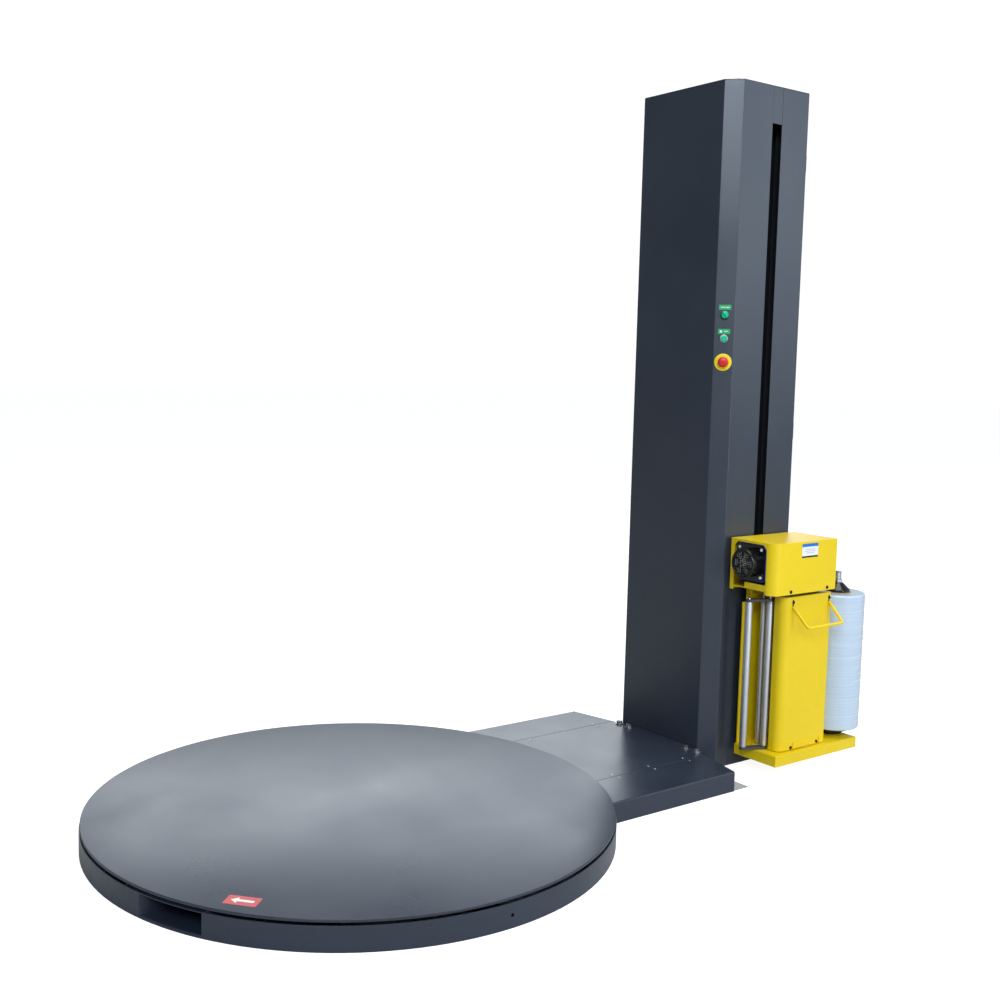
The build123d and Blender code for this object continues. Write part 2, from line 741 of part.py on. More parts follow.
def make_mast_frame():
    """The two guide rails and the brackets of the lift drive."""
    gap = guide_wheel_radius + rolling_gap
    rails = []
    for side in (1, -1):
        near = slider_half_width + rail_side_gap
        far = near + rail_flange
        xa, xb = sorted((slot_x + side * near, slot_x + side * far))
        channel = block(xa, xb, rail_y - gap - rail_wall, rail_y + gap + rail_wall, mast_plate,
                        panel_top - 4 * sheet)
        hollow = sorted((slot_x + side * (near - 1), slot_x + side * (far - rail_wall)))
        channel -= block(hollow[0], hollow[1], rail_y - gap, rail_y + gap, 0, panel_top)
        rails.append(channel)
    box_left = slot_x + lift_box_offset
    half = lift_box / 2
    plate = block(box_left - lift_bracket_wall, box_left, lift_y - half, mast_side - sheet,
                  lift_top_z - half - lift_bracket_margin, lift_top_z + half + lift_bracket_margin)
    plate -= rod_x(box_left - 2 * lift_bracket_wall, box_left + 1, lift_y, lift_top_z,
                   lift_shaft_radius + sheet)
    axle_top = lift_idler_z + lift_shaft_radius + sheet
    stand = []
    for side in (1, -1):
        xa, xb = sorted((slot_x + side * (idler_stand_reach - sheet), slot_x + side * idler_stand_reach))
        stand.append(block(xa, xb, lift_y - idler_stand_half, lift_y + idler_stand_half, mast_plate, axle_top))
    axle = rod_x(slot_x - idler_stand_reach, slot_x + idler_stand_reach, lift_y, lift_idler_z,
                 lift_shaft_radius)
    save("mast_frame", *rails, plate, stand[0] + stand[1] + axle)
    return box_left


def make_lift(box_left):
    """The lift gearmotor, its two chain wheels and its chain."""
    half = lift_box / 2
    box = block(box_left, box_left + lift_box, lift_y - half, lift_y + half, lift_top_z - half,
                lift_top_z + half)
    box = fillet(box.edges().filter_by(Axis.X), box_round)
    box -= rod_x(box_left - 1, box_left + half, lift_y, lift_top_z, lift_shaft_radius + running_gap)
    motor = rod_y(box_left + half, lift_y + half, lift_y + half + lift_motor_length, lift_top_z,
                  lift_motor_radius)
    save("lift_gearmotor", box, fillet(motor.edges(), casting_round))

    face = Plane(origin=(slot_x - sprocket_thickness / 2, lift_y, 0), x_dir=(0, 0, 1), z_dir=(1, 0, 0))
    top = face * (Pos(lift_top_z, 0, 0) * sprocket(lift_sprocket_teeth, sprocket_thickness, lift_shaft_radius))
    shaft = rod_x(slot_x - lift_shaft_reach, box_left + half - shaft_end_gap, lift_y, lift_top_z,
                  lift_shaft_radius)
    save("lift_sprocket", top + shaft)
    idler = sprocket(lift_sprocket_teeth, sprocket_thickness, lift_shaft_radius + running_gap)
    save("idler_sprocket", face * (Pos(lift_idler_z, 0, 0) * idler))
    middle = Plane(origin=(slot_x, lift_y, lift_idler_z), x_dir=(0, 0, 1), z_dir=(1, 0, 0))
    loop = chain(lift_sprocket_radius, lift_sprocket_radius, lift_top_z - lift_idler_z)
    save("lift_chain", middle * loop)


def make_controls():
    """The selector, the start button and the emergency stop on the mast's cut corner."""
    bodies = []
    for z in (selector_z, start_z, estop_z):
        base = estop_disc_thickness if z == estop_z else 0.0
        body = Pos(0, 0, base + control_bezel_height / 2) * Cylinder(control_bezel_radius, control_bezel_height)
        barrel = Pos(0, 0, (base - sheet) / 2) * Cylinder(control_barrel_radius, base + sheet)
        contact = (Pos(0, 0, -sheet - control_block_depth / 2)
                   * Box(control_block, control_block, control_block_depth))
        well = Pos(0, 0, (base + control_bezel_height - 2 * control_bezel_radius) / 2) * Cylinder(
            control_bore_radius, base + control_bezel_height + 2 * control_bezel_radius)
        bodies.append(control_place(z) * (body + barrel + contact - well))
    save("control_bodies", *bodies)

    disc = Pos(0, 0, estop_disc_thickness / 2) * Cylinder(estop_disc_radius, estop_disc_thickness)
    disc -= Cylinder(control_hole_radius, 4 * estop_disc_thickness)
    save("estop_disc", control_place(estop_z) * disc)

    stem_radius = control_bore_radius - running_gap
    depth = control_bezel_radius
    face = control_bezel_height + rolling_gap
    stem = Pos(0, 0, (face - depth) / 2) * Cylinder(stem_radius, face + depth)
    knob = Pos(0, 0, face + knob_height / 2) * Cylinder(knob_radius, knob_height)
    knob = fillet(knob.edges().sort_by(Axis.Z)[-1], small_round)
    grip = Pos(0, 0, face + knob_height) * Box(knob_grip_share * knob_radius, knob_radius / 2, knob_radius / 2)
    save("selector_knob", control_place(selector_z) * (stem + knob + Rot(0, 0, 45) * grip))

    cap_low = control_bezel_height + start_travel + rolling_gap
    button_stem = Pos(0, 0, (cap_low - depth) / 2) * Cylinder(stem_radius, cap_low + depth)
    cap = Pos(0, 0, cap_low + start_cap_height / 2) * Cylinder(start_cap_radius, start_cap_height)
    cap = fillet(cap.edges().sort_by(Axis.Z)[-1], small_round / 2)
    save("start_button", control_place(start_z) * (button_stem + cap))

    head_low = estop_disc_thickness + control_bezel_height + estop_travel + rolling_gap
    stem_top = head_low + estop_head_height / 2
    rod = Pos(0, 0, (stem_top - depth) / 2) * Cylinder(stem_radius, stem_top + depth)
    save("estop_stem", control_place(estop_z) * rod)
    head = Pos(0, 0, head_low + estop_head_height / 2) * Cylinder(estop_head_radius, estop_head_height)
    head = fillet(head.edges().sort_by(Axis.Z)[-1], estop_head_round)
    socket = Pos(0, 0, (head_low + stem_top + rolling_gap) / 2) * Cylinder(
        control_bore_radius, stem_top + rolling_gap - head_low)
    save("estop_head", control_place(estop_z) * (head - socket))


# --- film carriage ---
def make_slider():
    """The slider inside the mast, its arm through the slot, and its two wheelsets."""
    low, high = slot_x - slider_half_width, slot_x + slider_half_width
    back = slider_front + slider_wall
    frame = block(low, high, slider_front, back, slider_bottom, slider_top)
    for x0, x1 in ((low, low + slider_wall), (high - slider_wall, high)):
        frame += block(x0, x1, back, back + cheek_depth, slider_bottom, slider_top)
    axle_heights = (slider_bottom + guide_axle_inset, slider_top - guide_axle_inset)
    for z in axle_heights:
        frame -= rod_x(low - 1, high + 1, rail_y, z, guide_axle_radius + running_gap)
    strand = lift_y - lift_sprocket_radius - chain_half_height
    middle = (slider_bottom + slider_top) / 2
    frame += block(slot_x - chain_clamp_width / 2, slot_x + chain_clamp_width / 2, back, strand,
                   middle - chain_clamp_height / 2, middle + chain_clamp_height / 2)
    reach = slot_width / 2 - arm_side_gap
    arm = block(slot_x - reach, slot_x + reach, tray_rear, slider_front, arm_bottom, arm_top)
    save("slider_frame", frame, arm)

    inner = slider_half_width + rail_side_gap + guide_wheel_inset
    outer = inner + guide_wheel_width
    for name, z in zip(("guide_wheels_lower", "guide_wheels_upper"), axle_heights):
        wheelset = rod_x(slot_x - outer, slot_x + outer, rail_y, z, guide_axle_radius)
        for side in (1, -1):
            x0, x1 = sorted((slot_x + side * inner, slot_x + side * outer))
            wheelset += rod_x(x0, x1, rail_y, z, guide_wheel_radius)
        save(name, wheelset)


def make_carriage_frame():
    """The tray, the back plate and the upper plate that carry the rollers."""
    tray = block(tray_left, tray_right, tray_front, tray_rear, tray_bottom, tray_top)
    tray = fillet(tray.edges().filter_by(Axis.Z), small_round)
    tray -= block(tray_left + tray_sheet, tray_right - tray_sheet, tray_front + tray_sheet,
                  tray_rear - tray_sheet, tray_bottom - 1, tray_top - tray_sheet)
    upper_rear = tray_rear + upper_plate_rear
    upper = block(upper_left, upper_left + upper_plate_length, upper_rear - upper_plate_depth,
                  upper_rear, upper_bottom, upper_top)
    lip_y = motor_cover_front + window_front
    upper += block(upper_left, upper_left + sheet, lip_y, lip_y + upper_lip_length, upper_top,
                   upper_top + upper_lip_height)
    for x in (slow_x, fast_x):
        shaft = post(x, stretch_y, tray_bottom, upper_top + 1, stretch_shaft_radius + running_gap)
        tray -= shaft
        upper -= shaft
    save("carriage_tray", tray)
    save("upper_plate", upper)

    front = tray_rear - back_plate_thickness
    left = tray_left + back_plate_inset
    ear_top = upper_bottom - back_plate_drop
    back = block(left, left + back_plate_length, front, tray_rear, tray_top, upper_bottom)
    right = motor_cover_left + cover_length - back_plate_notch
    for x0, x1 in ((left - 1, left + back_plate_notch), (right, left + back_plate_length + 1)):
        back -= block(x0, x1, front - 1, tray_rear + 1, ear_top, upper_bottom + 1)
    save("carriage_back_plate", back)


def make_motor_cover():
    """The box over the stretch motor, open at its left end and underneath."""
    right = motor_cover_left + cover_length
    cover = block(motor_cover_left, right, motor_cover_front, motor_cover_rear, motor_cover_bottom,
                  motor_cover_top)
    cover = fillet(edge_at(cover, motor_cover_left, motor_cover_front), cover_corner)
    cover = fillet(edge_at(cover, right, motor_cover_front), cover_small_corner)
    cover = fillet(edge_at(cover, right, motor_cover_rear), cover_small_corner)
    wall = cover_sheet
    hollow = block(motor_cover_left + wall, right - wall, motor_cover_front + wall,
                   motor_cover_rear - wall, motor_cover_bottom - 1, motor_cover_top - wall)
    hollow = fillet(edge_at(hollow, motor_cover_left + wall, motor_cover_front + wall), cover_corner - wall)
    cover -= hollow
    near, far = motor_cover_front + window_front, motor_cover_rear - window_side
    top = motor_cover_top - window_top
    window = [(near, motor_cover_bottom - 1), (far, motor_cover_bottom - 1), (far, top - window_cut),
              (far - window_cut, top), (near + window_cut, top), (near, top - window_cut)]
    cover -= prism_x(window, motor_cover_left - 1, motor_cover_left + 3 * wall)
    save("motor_cover", cover)


def make_stretch_motor():
    """The stretch gearmotor, its fan and the perforated cowl over the fan."""
    half = motor_flange / 2
    flange = block(flange_left, motor_left, motor_y - half, motor_y + half, motor_z - half, motor_z + half)
    flange = chamfer(flange.edges().filter_by(Axis.X), fan_plate_cut)
    flange -= rod_x(flange_left - 1, motor_left + 1, motor_y, motor_z, fan_shaft_radius + running_gap)
    box_half = stretch_box / 2
    motor = rod_x(motor_left, slow_x - box_half, motor_y, motor_z, motor_radius)
    motor -= rod_x(motor_left - 1, motor_left + 2 * fan_shaft_radius, motor_y, motor_z,
                   fan_shaft_radius + running_gap)
    box = block(slow_x - box_half, slow_x + box_half - stretch_box_cut, stretch_y - box_half,
                stretch_y + box_half, upper_top, motor_z + motor_radius)
    box = fillet(box.edges().filter_by(Axis.X), casting_round)
    box -= post(slow_x, stretch_y, upper_top - 1, upper_top + gearbox_bore, stretch_shaft_radius + running_gap)
    save("stretch_gearmotor", flange + motor, box)

    plate_half = fan_plate / 2
    cowl = block(fan_plate_left, flange_left, motor_y - plate_half, motor_y + plate_half,
                 motor_z - plate_half, motor_z + plate_half)
    cowl = chamfer(cowl.edges().filter_by(Axis.X), fan_plate_cut)
    can = rod_x(cowl_left, fan_plate_left, motor_y, motor_z, cowl_radius)
    can = fillet(can.edges().sort_by(Axis.X)[0], fold_radius)
    cowl += can
    cowl -= rod_x(cowl_left + cowl_wall, fan_plate_left + cowl_wall, motor_y, motor_z,
                  cowl_radius - cowl_wall)
    cowl -= rod_x(cowl_left + cowl_wall, flange_left + 1, motor_y, motor_z, 2 * fan_shaft_radius)
    count = int(grille_radius / grille_pitch)
    cells = [(i, j) for i in range(-count, count + 1) for j in range(-count, count + 1)]
    holes = [rod_x(cowl_left - 1, cowl_left + 3 * cowl_wall, motor_y + i * grille_pitch,
                   motor_z + j * grille_pitch, grille_hole_radius)
             for i, j in cells if 0 < hypot(i, j) * grille_pitch < grille_radius]
    save("fan_cowl", cowl - holes)

    fan_left = cowl_left + cowl_length / 2 - fan_width / 2
    fan = rod_x(fan_left, fan_left + fan_width, motor_y, motor_z, fan_hub_radius)
    half = fan_blade_thickness / 2
    blade = block(fan_left, fan_left + fan_width, -half, half, fan_hub_radius - half, fan_radius)
    for i in range(fan_blades):
        fan += Pos(0, motor_y, motor_z) * Rot(360 * i / fan_blades, 0, 0) * blade
    fan += rod_x(fan_left, motor_left + fan_shaft_radius, motor_y, motor_z, fan_shaft_radius)
    save("motor_fan", fan)


def make_front_cover():
    """The front cover with its keyholes, and the bail handle on it."""
    side = front_face + front_cover_side
    cover = block(front_left, front_right, front_face, side, front_bottom, front_top)
    cover = fillet(edge_at(cover, front_left, front_face), front_cover_corner)
    cover = fillet(edge_at(cover, front_right, front_face), cover_small_corner)
    wall = cover_sheet
    hollow = block(front_left + wall, front_right - wall, front_face + wall, side + 1,
                   front_bottom - 1, front_top - wall)
    hollow = fillet(edge_at(hollow, front_left + wall, front_face + wall), front_cover_corner - wall)
    cover -= hollow
    for x in (handle_x - handle_half_width, handle_x + handle_half_width):
        cover -= block(x - keyhole_width / 2, x + keyhole_width / 2, front_face - 1, front_face + 2 * wall,
                       front_top - keyhole_inset - keyhole_height, front_top - keyhole_inset)
    save("front_cover", cover)

    low_y, low_z, low_half = front_face - handle_reach, handle_z - handle_drop, handle_half_width - handle_lean
    line = FilletPolyline(
        (handle_x - handle_half_width, front_face, handle_z), (handle_x - low_half, low_y, low_z),
        (handle_x + low_half, low_y, low_z), (handle_x + handle_half_width, front_face, handle_z),
        radius=handle_corner)
    section = Plane(origin=line @ 0, z_dir=line % 0) * Circle(handle_rod_radius)
    rod = sweep(section, path=line)
    rod -= block(front_left, front_right + 2 * handle_corner, front_face, side, low_z, front_top)
    save("cover_handle", rod)


def make_screws():
    """The carriage's visible screws: motor cover, front cover and fan plate."""
    screws = []
    for x in cover_screw_x:
        screws.append(rod_y(motor_cover_left + x, motor_cover_front - screw_height, motor_cover_front,
                            motor_cover_bottom + cover_screw_rise, screw_radius))
    for x in (handle_x - handle_half_width, handle_x + handle_half_width):
        z = handle_z + 2 * handle_rod_radius + screw_radius
        screws.append(rod_y(x, front_face - screw_height, front_face, z, screw_radius))
    for x in front_screw_x:
        screws.append(rod_y(front_left + x, front_face - screw_height, front_face,
                            front_bottom + front_screw_rise, screw_radius))
    for dy in (-fan_bolt_reach, fan_bolt_reach):
        for dz in (-fan_bolt_reach, fan_bolt_reach):
            screws.append(rod_x(fan_plate_left - screw_height, fan_plate_left, motor_y + dy, motor_z + dz,
                                fan_screw_radius))
    save("carriage_screws", *screws)


def make_rollers():
    """The stretch rollers with their gears, the idle roller and the dancer."""
    for name, x, teeth, turn in (("stretch_roller_slow", slow_x, slow_gear_teeth, 0.0),
                                 ("stretch_roller_fast", fast_x, fast_gear_teeth, 180 / fast_gear_teeth)):
        top = upper_top + gearbox_shaft if x == slow_x else upper_top
        roller = post(x, stretch_y, roller_bottom, roller_top, stretch_roller_radius)
        roller = fillet(roller.edges(), small_round)
        roller += post(x, stretch_y, tray_top - tray_sheet, top, stretch_shaft_radius)
        wheel = gear(teeth, gear_thickness) - post(0, 0, 0, gear_thickness, stretch_shaft_radius)
        wheel = Pos(x, stretch_y, front_top + sheet) * Rot(0, 0, turn) * wheel
        save(name, roller, wheel)

    idle_foot = ring(idle_x, idle_y, tray_top, roller_bottom - running_gap, idle_roller_radius,
                     roller_shaft_radius)
    shafts = [post(idle_x, idle_y, tray_top, upper_bottom, roller_shaft_radius) + idle_foot,
              post(dancer_x, dancer_y, tray_top, upper_bottom, roller_shaft_radius),
              post(roll_x, roll_y, tray_top, roll_top + core_overhang + spindle_above, spindle_radius)]
    save("roller_shafts", *shafts)

    bore = roller_shaft_radius + running_gap
    idle_top = roller_top - idle_roller_short
    save("idle_roller", ring(idle_x, idle_y, roller_bottom, idle_top, idle_roller_radius, bore))
    low = dancer_bottom + dancer_bar_thickness
    for name, x, y in (("pivot_roller", dancer_x, dancer_y), ("dancer_roller", swing_x, swing_y)):
        save(name, ring(x, y, low + dancer_bar_gap, dancer_top - dancer_bar_gap, guide_roller_radius, bore))

    middle = ((dancer_x + swing_x) / 2, (dancer_y + swing_y) / 2)
    reach = hypot(dancer_reach_x, dancer_reach_y)
    bar = Pos(*middle) * Rot(0, 0, -degrees_of(dancer_reach_y / dancer_reach_x)) * SlotCenterToCenter(
        reach, dancer_bar_width)
    arm = post(swing_x, swing_y, dancer_bottom, dancer_top + dancer_bar_thickness, roller_shaft_radius)
    for z in (dancer_bottom, dancer_top):
        arm += Pos(0, 0, z) * extrude(bar, dancer_bar_thickness)
    arm -= post(dancer_x, dancer_y, tray_top, upper_bottom, bore)
    save("dancer_arm", arm)


def degrees_of(slope):
    """The angle of a slope, in degrees."""
    return Vector(1, 0, 0).get_angle(Vector(1, slope, 0))


def make_film():
    """The roll of film on its core, and the mandrel with its clamp that hold it."""
    core_low, core_high = roll_bottom - core_overhang, roll_top + core_overhang
    save("film_roll", ring(roll_x, roll_y, roll_bottom, roll_top, film_radius, core_outer_radius))
    save("film_core", ring(roll_x, roll_y, core_low, core_high, core_outer_radius, core_inner_radius))
    bore = spindle_radius + running_gap
    disc_low = core_low - mandrel_disc_thickness
    mandrel = post(roll_x, roll_y, disc_low, core_low, mandrel_disc_radius)
    mandrel += post(roll_x, roll_y, tray_top + bearing_gap, disc_low, mandrel_hub_radius)
    mandrel += post(roll_x, roll_y, core_low, core_high - clamp_height, core_inner_radius - mandrel_gap)
    mandrel -= post(roll_x, roll_y, tray_top, core_high, bore)
    cone = Cone(clamp_radius, clamp_top_radius, clamp_height)
    cone = Pos(roll_x, roll_y, core_high + clamp_height / 2) * cone
    cone += post(roll_x, roll_y, core_high, core_high + clamp_height / 4, clamp_radius)
    cone -= post(roll_x, roll_y, core_high, core_high + clamp_height, bore)
    save("film_mandrel", mandrel, cone)


make_base()
make_wheels()
make_deck()
make_turntable()
make_drive()
make_mast()
make_lift(make_mast_frame())
make_controls()
make_slider()
make_carriage_frame()
make_motor_cover()
make_stretch_motor()
make_front_cover()
make_screws()
make_rollers()
make_film()
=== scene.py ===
import json
from math import cos, pi, radians, sin

import bmesh
import bpy
import numpy as np
from mathutils import Matrix, Vector


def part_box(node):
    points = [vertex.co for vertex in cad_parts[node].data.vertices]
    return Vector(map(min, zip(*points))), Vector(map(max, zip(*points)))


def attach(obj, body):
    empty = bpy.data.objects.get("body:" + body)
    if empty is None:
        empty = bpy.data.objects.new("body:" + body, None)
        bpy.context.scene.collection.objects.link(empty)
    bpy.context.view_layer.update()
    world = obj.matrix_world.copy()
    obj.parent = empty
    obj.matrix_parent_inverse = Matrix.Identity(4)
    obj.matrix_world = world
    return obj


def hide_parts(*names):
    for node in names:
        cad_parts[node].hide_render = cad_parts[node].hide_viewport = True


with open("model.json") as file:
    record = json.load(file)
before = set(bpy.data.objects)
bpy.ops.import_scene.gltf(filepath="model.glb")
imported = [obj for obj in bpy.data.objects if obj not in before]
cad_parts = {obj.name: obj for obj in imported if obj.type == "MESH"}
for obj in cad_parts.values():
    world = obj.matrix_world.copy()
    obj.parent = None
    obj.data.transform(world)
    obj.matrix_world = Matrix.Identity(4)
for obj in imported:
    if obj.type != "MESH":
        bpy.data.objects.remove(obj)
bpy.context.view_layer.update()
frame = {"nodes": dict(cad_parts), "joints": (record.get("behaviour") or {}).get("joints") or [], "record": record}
scene = bpy.context.scene
print("stage: frame loaded with", len(frame["nodes"]), "nodes")


# camera at a standing viewer's eye, with its lens and framing
cameraLook = {
    "place": (-1.80383, -3.08918, 1.41034),
    "turn": 0.6221755,      # from +Y towards +X
    "dip": 0.0989795,       # below the horizon
    "lean": 0.0222777,      # about its own line of sight
    "lens": 43.128,
    "shift": (0.03036, -0.01323),
    "sensor": 36.0,
    "clip": (0.05, 200.0),
}


def makeCamera(look):
    # ahead is (sin turn cos dip, cos turn cos dip, -sin dip); lean then rolls right and up about it
    turn, dip, lean = look["turn"], look["dip"], look["lean"]
    ahead = Vector((sin(turn) * cos(dip), cos(turn) * cos(dip), -sin(dip)))
    level = Vector((cos(turn), -sin(turn), 0.0))
    raised = level.cross(ahead)
    right = level * cos(lean) + raised * sin(lean)
    up = raised * cos(lean) - level * sin(lean)
    data = bpy.data.cameras.new("viewCamera")
    data.sensor_width = look["sensor"]
    data.lens = look["lens"]
    data.shift_x, data.shift_y = look["shift"]
    data.clip_start, data.clip_end = look["clip"]
    camera = bpy.data.objects.new("viewCamera", data)
    scene.collection.objects.link(camera)
    axes = Matrix((right, up, -ahead)).transposed().to_4x4()
    camera.matrix_world = Matrix.Translation(look["place"]) @ axes
    scene.camera = camera


makeCamera(cameraLook)


# nodes for materials
def addNode(tree, kind, inputs=None, **settings):
    # one node; a socket's value is either a number or another node's output
    node = tree.nodes.new("ShaderNode" + kind)
    for key, value in settings.items():
        setattr(node, key, value)
    for key, value in (inputs or {}).items():
        if isinstance(value, bpy.types.NodeSocket):
            tree.links.new(value, node.inputs[key])
        else:
            node.inputs[key].default_value = value
    return node


def startMaterial(name, constants):
    # a principled material, with constants set on the shader's own sockets
    material = bpy.data.materials.new(name)
    material.use_nodes = True
    tree = material.node_tree
    shader = tree.nodes["Principled BSDF"]
    for key, value in constants.items():
        shader.inputs[key].default_value = value
    place = addNode(tree, "TexCoord").outputs["Object"]
    return material, tree, shader, place


def stretched(tree, place, scale):
    return addNode(tree, "Mapping", {"Vector": place, "Scale": scale}).outputs["Vector"]


def noise(tree, place, scale, detail=3.0, rough=0.5, distortion=0.0):
    inputs = {"Vector": place, "Scale": scale, "Detail": detail, "Roughness": rough, "Distortion": distortion}
    return addNode(tree, "TexNoise", inputs).outputs["Fac"]


def ranged(tree, value, low, high, toLow, toHigh):
    inputs = {"Value": value, "From Min": low, "From Max": high, "To Min": toLow, "To Max": toHigh}
    return addNode(tree, "MapRange", inputs).outputs["Result"]


def maths(tree, kind, a, b=0.0):
    return addNode(tree, "Math", {0: a, 1: b}, operation=kind).outputs[0]


def blendColour(tree, share, a, b):
    # a where share is 0, b where it is 1
    return addNode(tree, "Mix", {0: share, 6: a, 7: b}, data_type="RGBA").outputs[2]


def bumped(tree, height, strength, depth):
    inputs = {"Height": height, "Strength": strength, "Distance": depth}
    return addNode(tree, "Bump", inputs).outputs["Normal"]


def colour(red, green, blue):
    # screen values 0-255 made linear, with a full alpha
    shares = [value / 255 for value in (red, green, blue)]
    return [((s + 0.055) / 1.055) ** 2.4 if s > 10 / 255 else s / 12.92 for s in shares] + [1.0]


def shaded(tone, factor):
    return [min(1.0, c * factor) for c in tone[:3]] + [1.0]


# powder coat and enamel: grain and depth in metres, cloud is the slow change of tone
paintLooks = {
    "mast_paint": {"tone": colour(51, 57, 68), "rough": 0.34, "specular": 0.62, "cloud": 0.10,
                   "dust": 0.0, "grain": 0.0016, "depth": 0.00012},
    "base_paint": {"tone": colour(42, 50, 64), "rough": 0.31, "specular": 0.60, "cloud": 0.08,
                   "dust": 0.025, "grain": 0.0022, "depth": 0.00016},
    "frame_paint": {"tone": colour(40, 42, 45), "rough": 0.55, "specular": 0.45, "cloud": 0.15,
                    "dust": 0.15, "grain": 0.0020, "depth": 0.00010},
    "carriage_yellow": {"tone": colour(240, 206, 4), "rough": 0.38, "specular": 0.50, "cloud": 0.05,
                        "dust": 0.0, "grain": 0.0030, "depth": 0.00005},
    "motor_blue": {"tone": colour(14, 66, 190), "rough": 0.33, "specular": 0.55, "cloud": 0.10,
                   "dust": 0.05, "grain": 0.0025, "depth": 0.00010},
    "cabinet_grey": {"tone": colour(196, 198, 196), "rough": 0.45, "specular": 0.50, "cloud": 0.06,
                     "dust": 0.0, "grain": 0.0018, "depth": 0.00008},
}
dustTone = colour(168, 166, 160)


def makePaint(name, look):
    material, tree, shader, place = startMaterial(name, {"Specular IOR Level": look["specular"]})
    # tone: slow clouds with a fine speckle; relief: an even orange peel
    clouds = noise(tree, place, 2.4, 4.0, 0.55)
    speckle = noise(tree, place, 0.45 / look["grain"], 2.0, 0.6)
    share = maths(tree, "ADD", ranged(tree, clouds, 0.35, 0.65, 0.0, 0.7),
                  ranged(tree, speckle, 0.35, 0.65, 0.0, 0.3))
    dark, light = shaded(look["tone"], 1 - look["cloud"]), shaded(look["tone"], 1 + look["cloud"])
    tone = blendColour(tree, share, dark, light)
    if look["dust"] > 0:
        # pale dust settles on faces that look up, in uneven patches
        normal = addNode(tree, "NewGeometry").outputs["Normal"]
        upward = addNode(tree, "SeparateXYZ", {0: normal}).outputs["Z"]
        patches = ranged(tree, noise(tree, place, 5.0, 6.0, 0.65), 0.42, 0.70, 0.0, look["dust"])
        settled = maths(tree, "MULTIPLY", ranged(tree, upward, 0.6, 1.0, 0.0, 1.0), patches)
        tone = blendColour(tree, settled, tone, dustTone)
    tree.links.new(tone, shader.inputs["Base Color"])
    gloss = ranged(tree, clouds, 0.3, 0.7, look["rough"] - 0.05, look["rough"] + 0.06)
    tree.links.new(gloss, shader.inputs["Roughness"])
    peel = noise(tree, place, 0.8 / look["grain"], 2.0, 0.5)
    tree.links.new(bumped(tree, peel, 0.35, look["depth"]), shader.inputs["Normal"])
    return material


# bare metals: streak is how closely the noise is packed along x, y and z
metalLooks = {
    "bare_steel": {"tone": colour(176, 178, 180), "rough": 0.34, "streak": (60, 60, 900)},
    "zinc_steel": {"tone": colour(196, 198, 200), "rough": 0.28, "streak": (300, 300, 300)},
    "roller_aluminium": {"tone": colour(226, 228, 232), "rough": 0.46, "streak": (40, 40, 2200)},
    "chain_steel": {"tone": colour(92, 88, 84), "rough": 0.38, "streak": (250, 250, 250)},
}


def makeMetal(name, look):
    # drawn grain with faint stains; both make the gloss uneven
    material, tree, shader, place = startMaterial(name, {"Metallic": 1.0})
    grain = noise(tree, stretched(tree, place, look["streak"]), 1.0, 3.0, 0.6)
    stain = noise(tree, place, 9.0, 5.0, 0.6)
    stained = ranged(tree, stain, 0.35, 0.7, 0.0, 1.0)
    tone = blendColour(tree, stained, look["tone"], shaded(look["tone"], 0.82))
    tree.links.new(tone, shader.inputs["Base Color"])
    wear = maths(tree, "ADD", grain, stain)
    gloss = ranged(tree, wear, 0.7, 1.3, look["rough"] - 0.07, look["rough"] + 0.10)
    tree.links.new(gloss, shader.inputs["Roughness"])
    tree.links.new(bumped(tree, grain, 0.12, 0.00002), shader.inputs["Normal"])
    return material


# moulded plastics and rubber: grain and depth in metres
plasticLooks = {
    "dancer_grey": {"tone": colour(62, 63, 74), "rough": 0.50, "grain": 0.0009, "depth": 0.00008},
    "black_plastic": {"tone": colour(16, 16, 18), "rough": 0.20, "grain": 0.0012, "depth": 0.00006},
    "wheel_nylon": {"tone": colour(226, 222, 208), "rough": 0.42, "grain": 0.0015, "depth": 0.00005},
    "roller_rubber": {"tone": colour(44, 44, 45), "rough": 0.68, "grain": 0.0008, "depth": 0.00010},
    "button_green": {"tone": colour(4, 186, 138), "rough": 0.22, "grain": 0.0030, "depth": 0.00002},
    "estop_red": {"tone": colour(205, 34, 30), "rough": 0.30, "grain": 0.0020, "depth": 0.00003},
    "estop_yellow": {"tone": colour(240, 214, 20), "rough": 0.35, "grain": 0.0020, "depth": 0.00003},
}


def makePlastic(name, look):
    # faint handling marks over a fine moulded grain
    material, tree, shader, place = startMaterial(name, {"Specular IOR Level": 0.5})
    marks = noise(tree, place, 14.0, 5.0, 0.6)
    marked = ranged(tree, marks, 0.35, 0.7, 0.0, 1.0)
    tone = blendColour(tree, marked, look["tone"], shaded(look["tone"], 1.12))
    tree.links.new(tone, shader.inputs["Base Color"])
    tree.links.new(ranged(tree, marks, 0.3, 0.7, look["rough"] - 0.05, look["rough"] + 0.07),
                   shader.inputs["Roughness"])
    grain = noise(tree, place, 0.7 / look["grain"], 2.0, 0.5)
    tree.links.new(bumped(tree, grain, 0.4, look["depth"]), shader.inputs["Normal"])
    return material


# wrapHeight is the height of one band of film, in metres
filmLook = {"tone": colour(190, 208, 226), "pale": colour(204, 217, 230), "wrapHeight": 0.007}


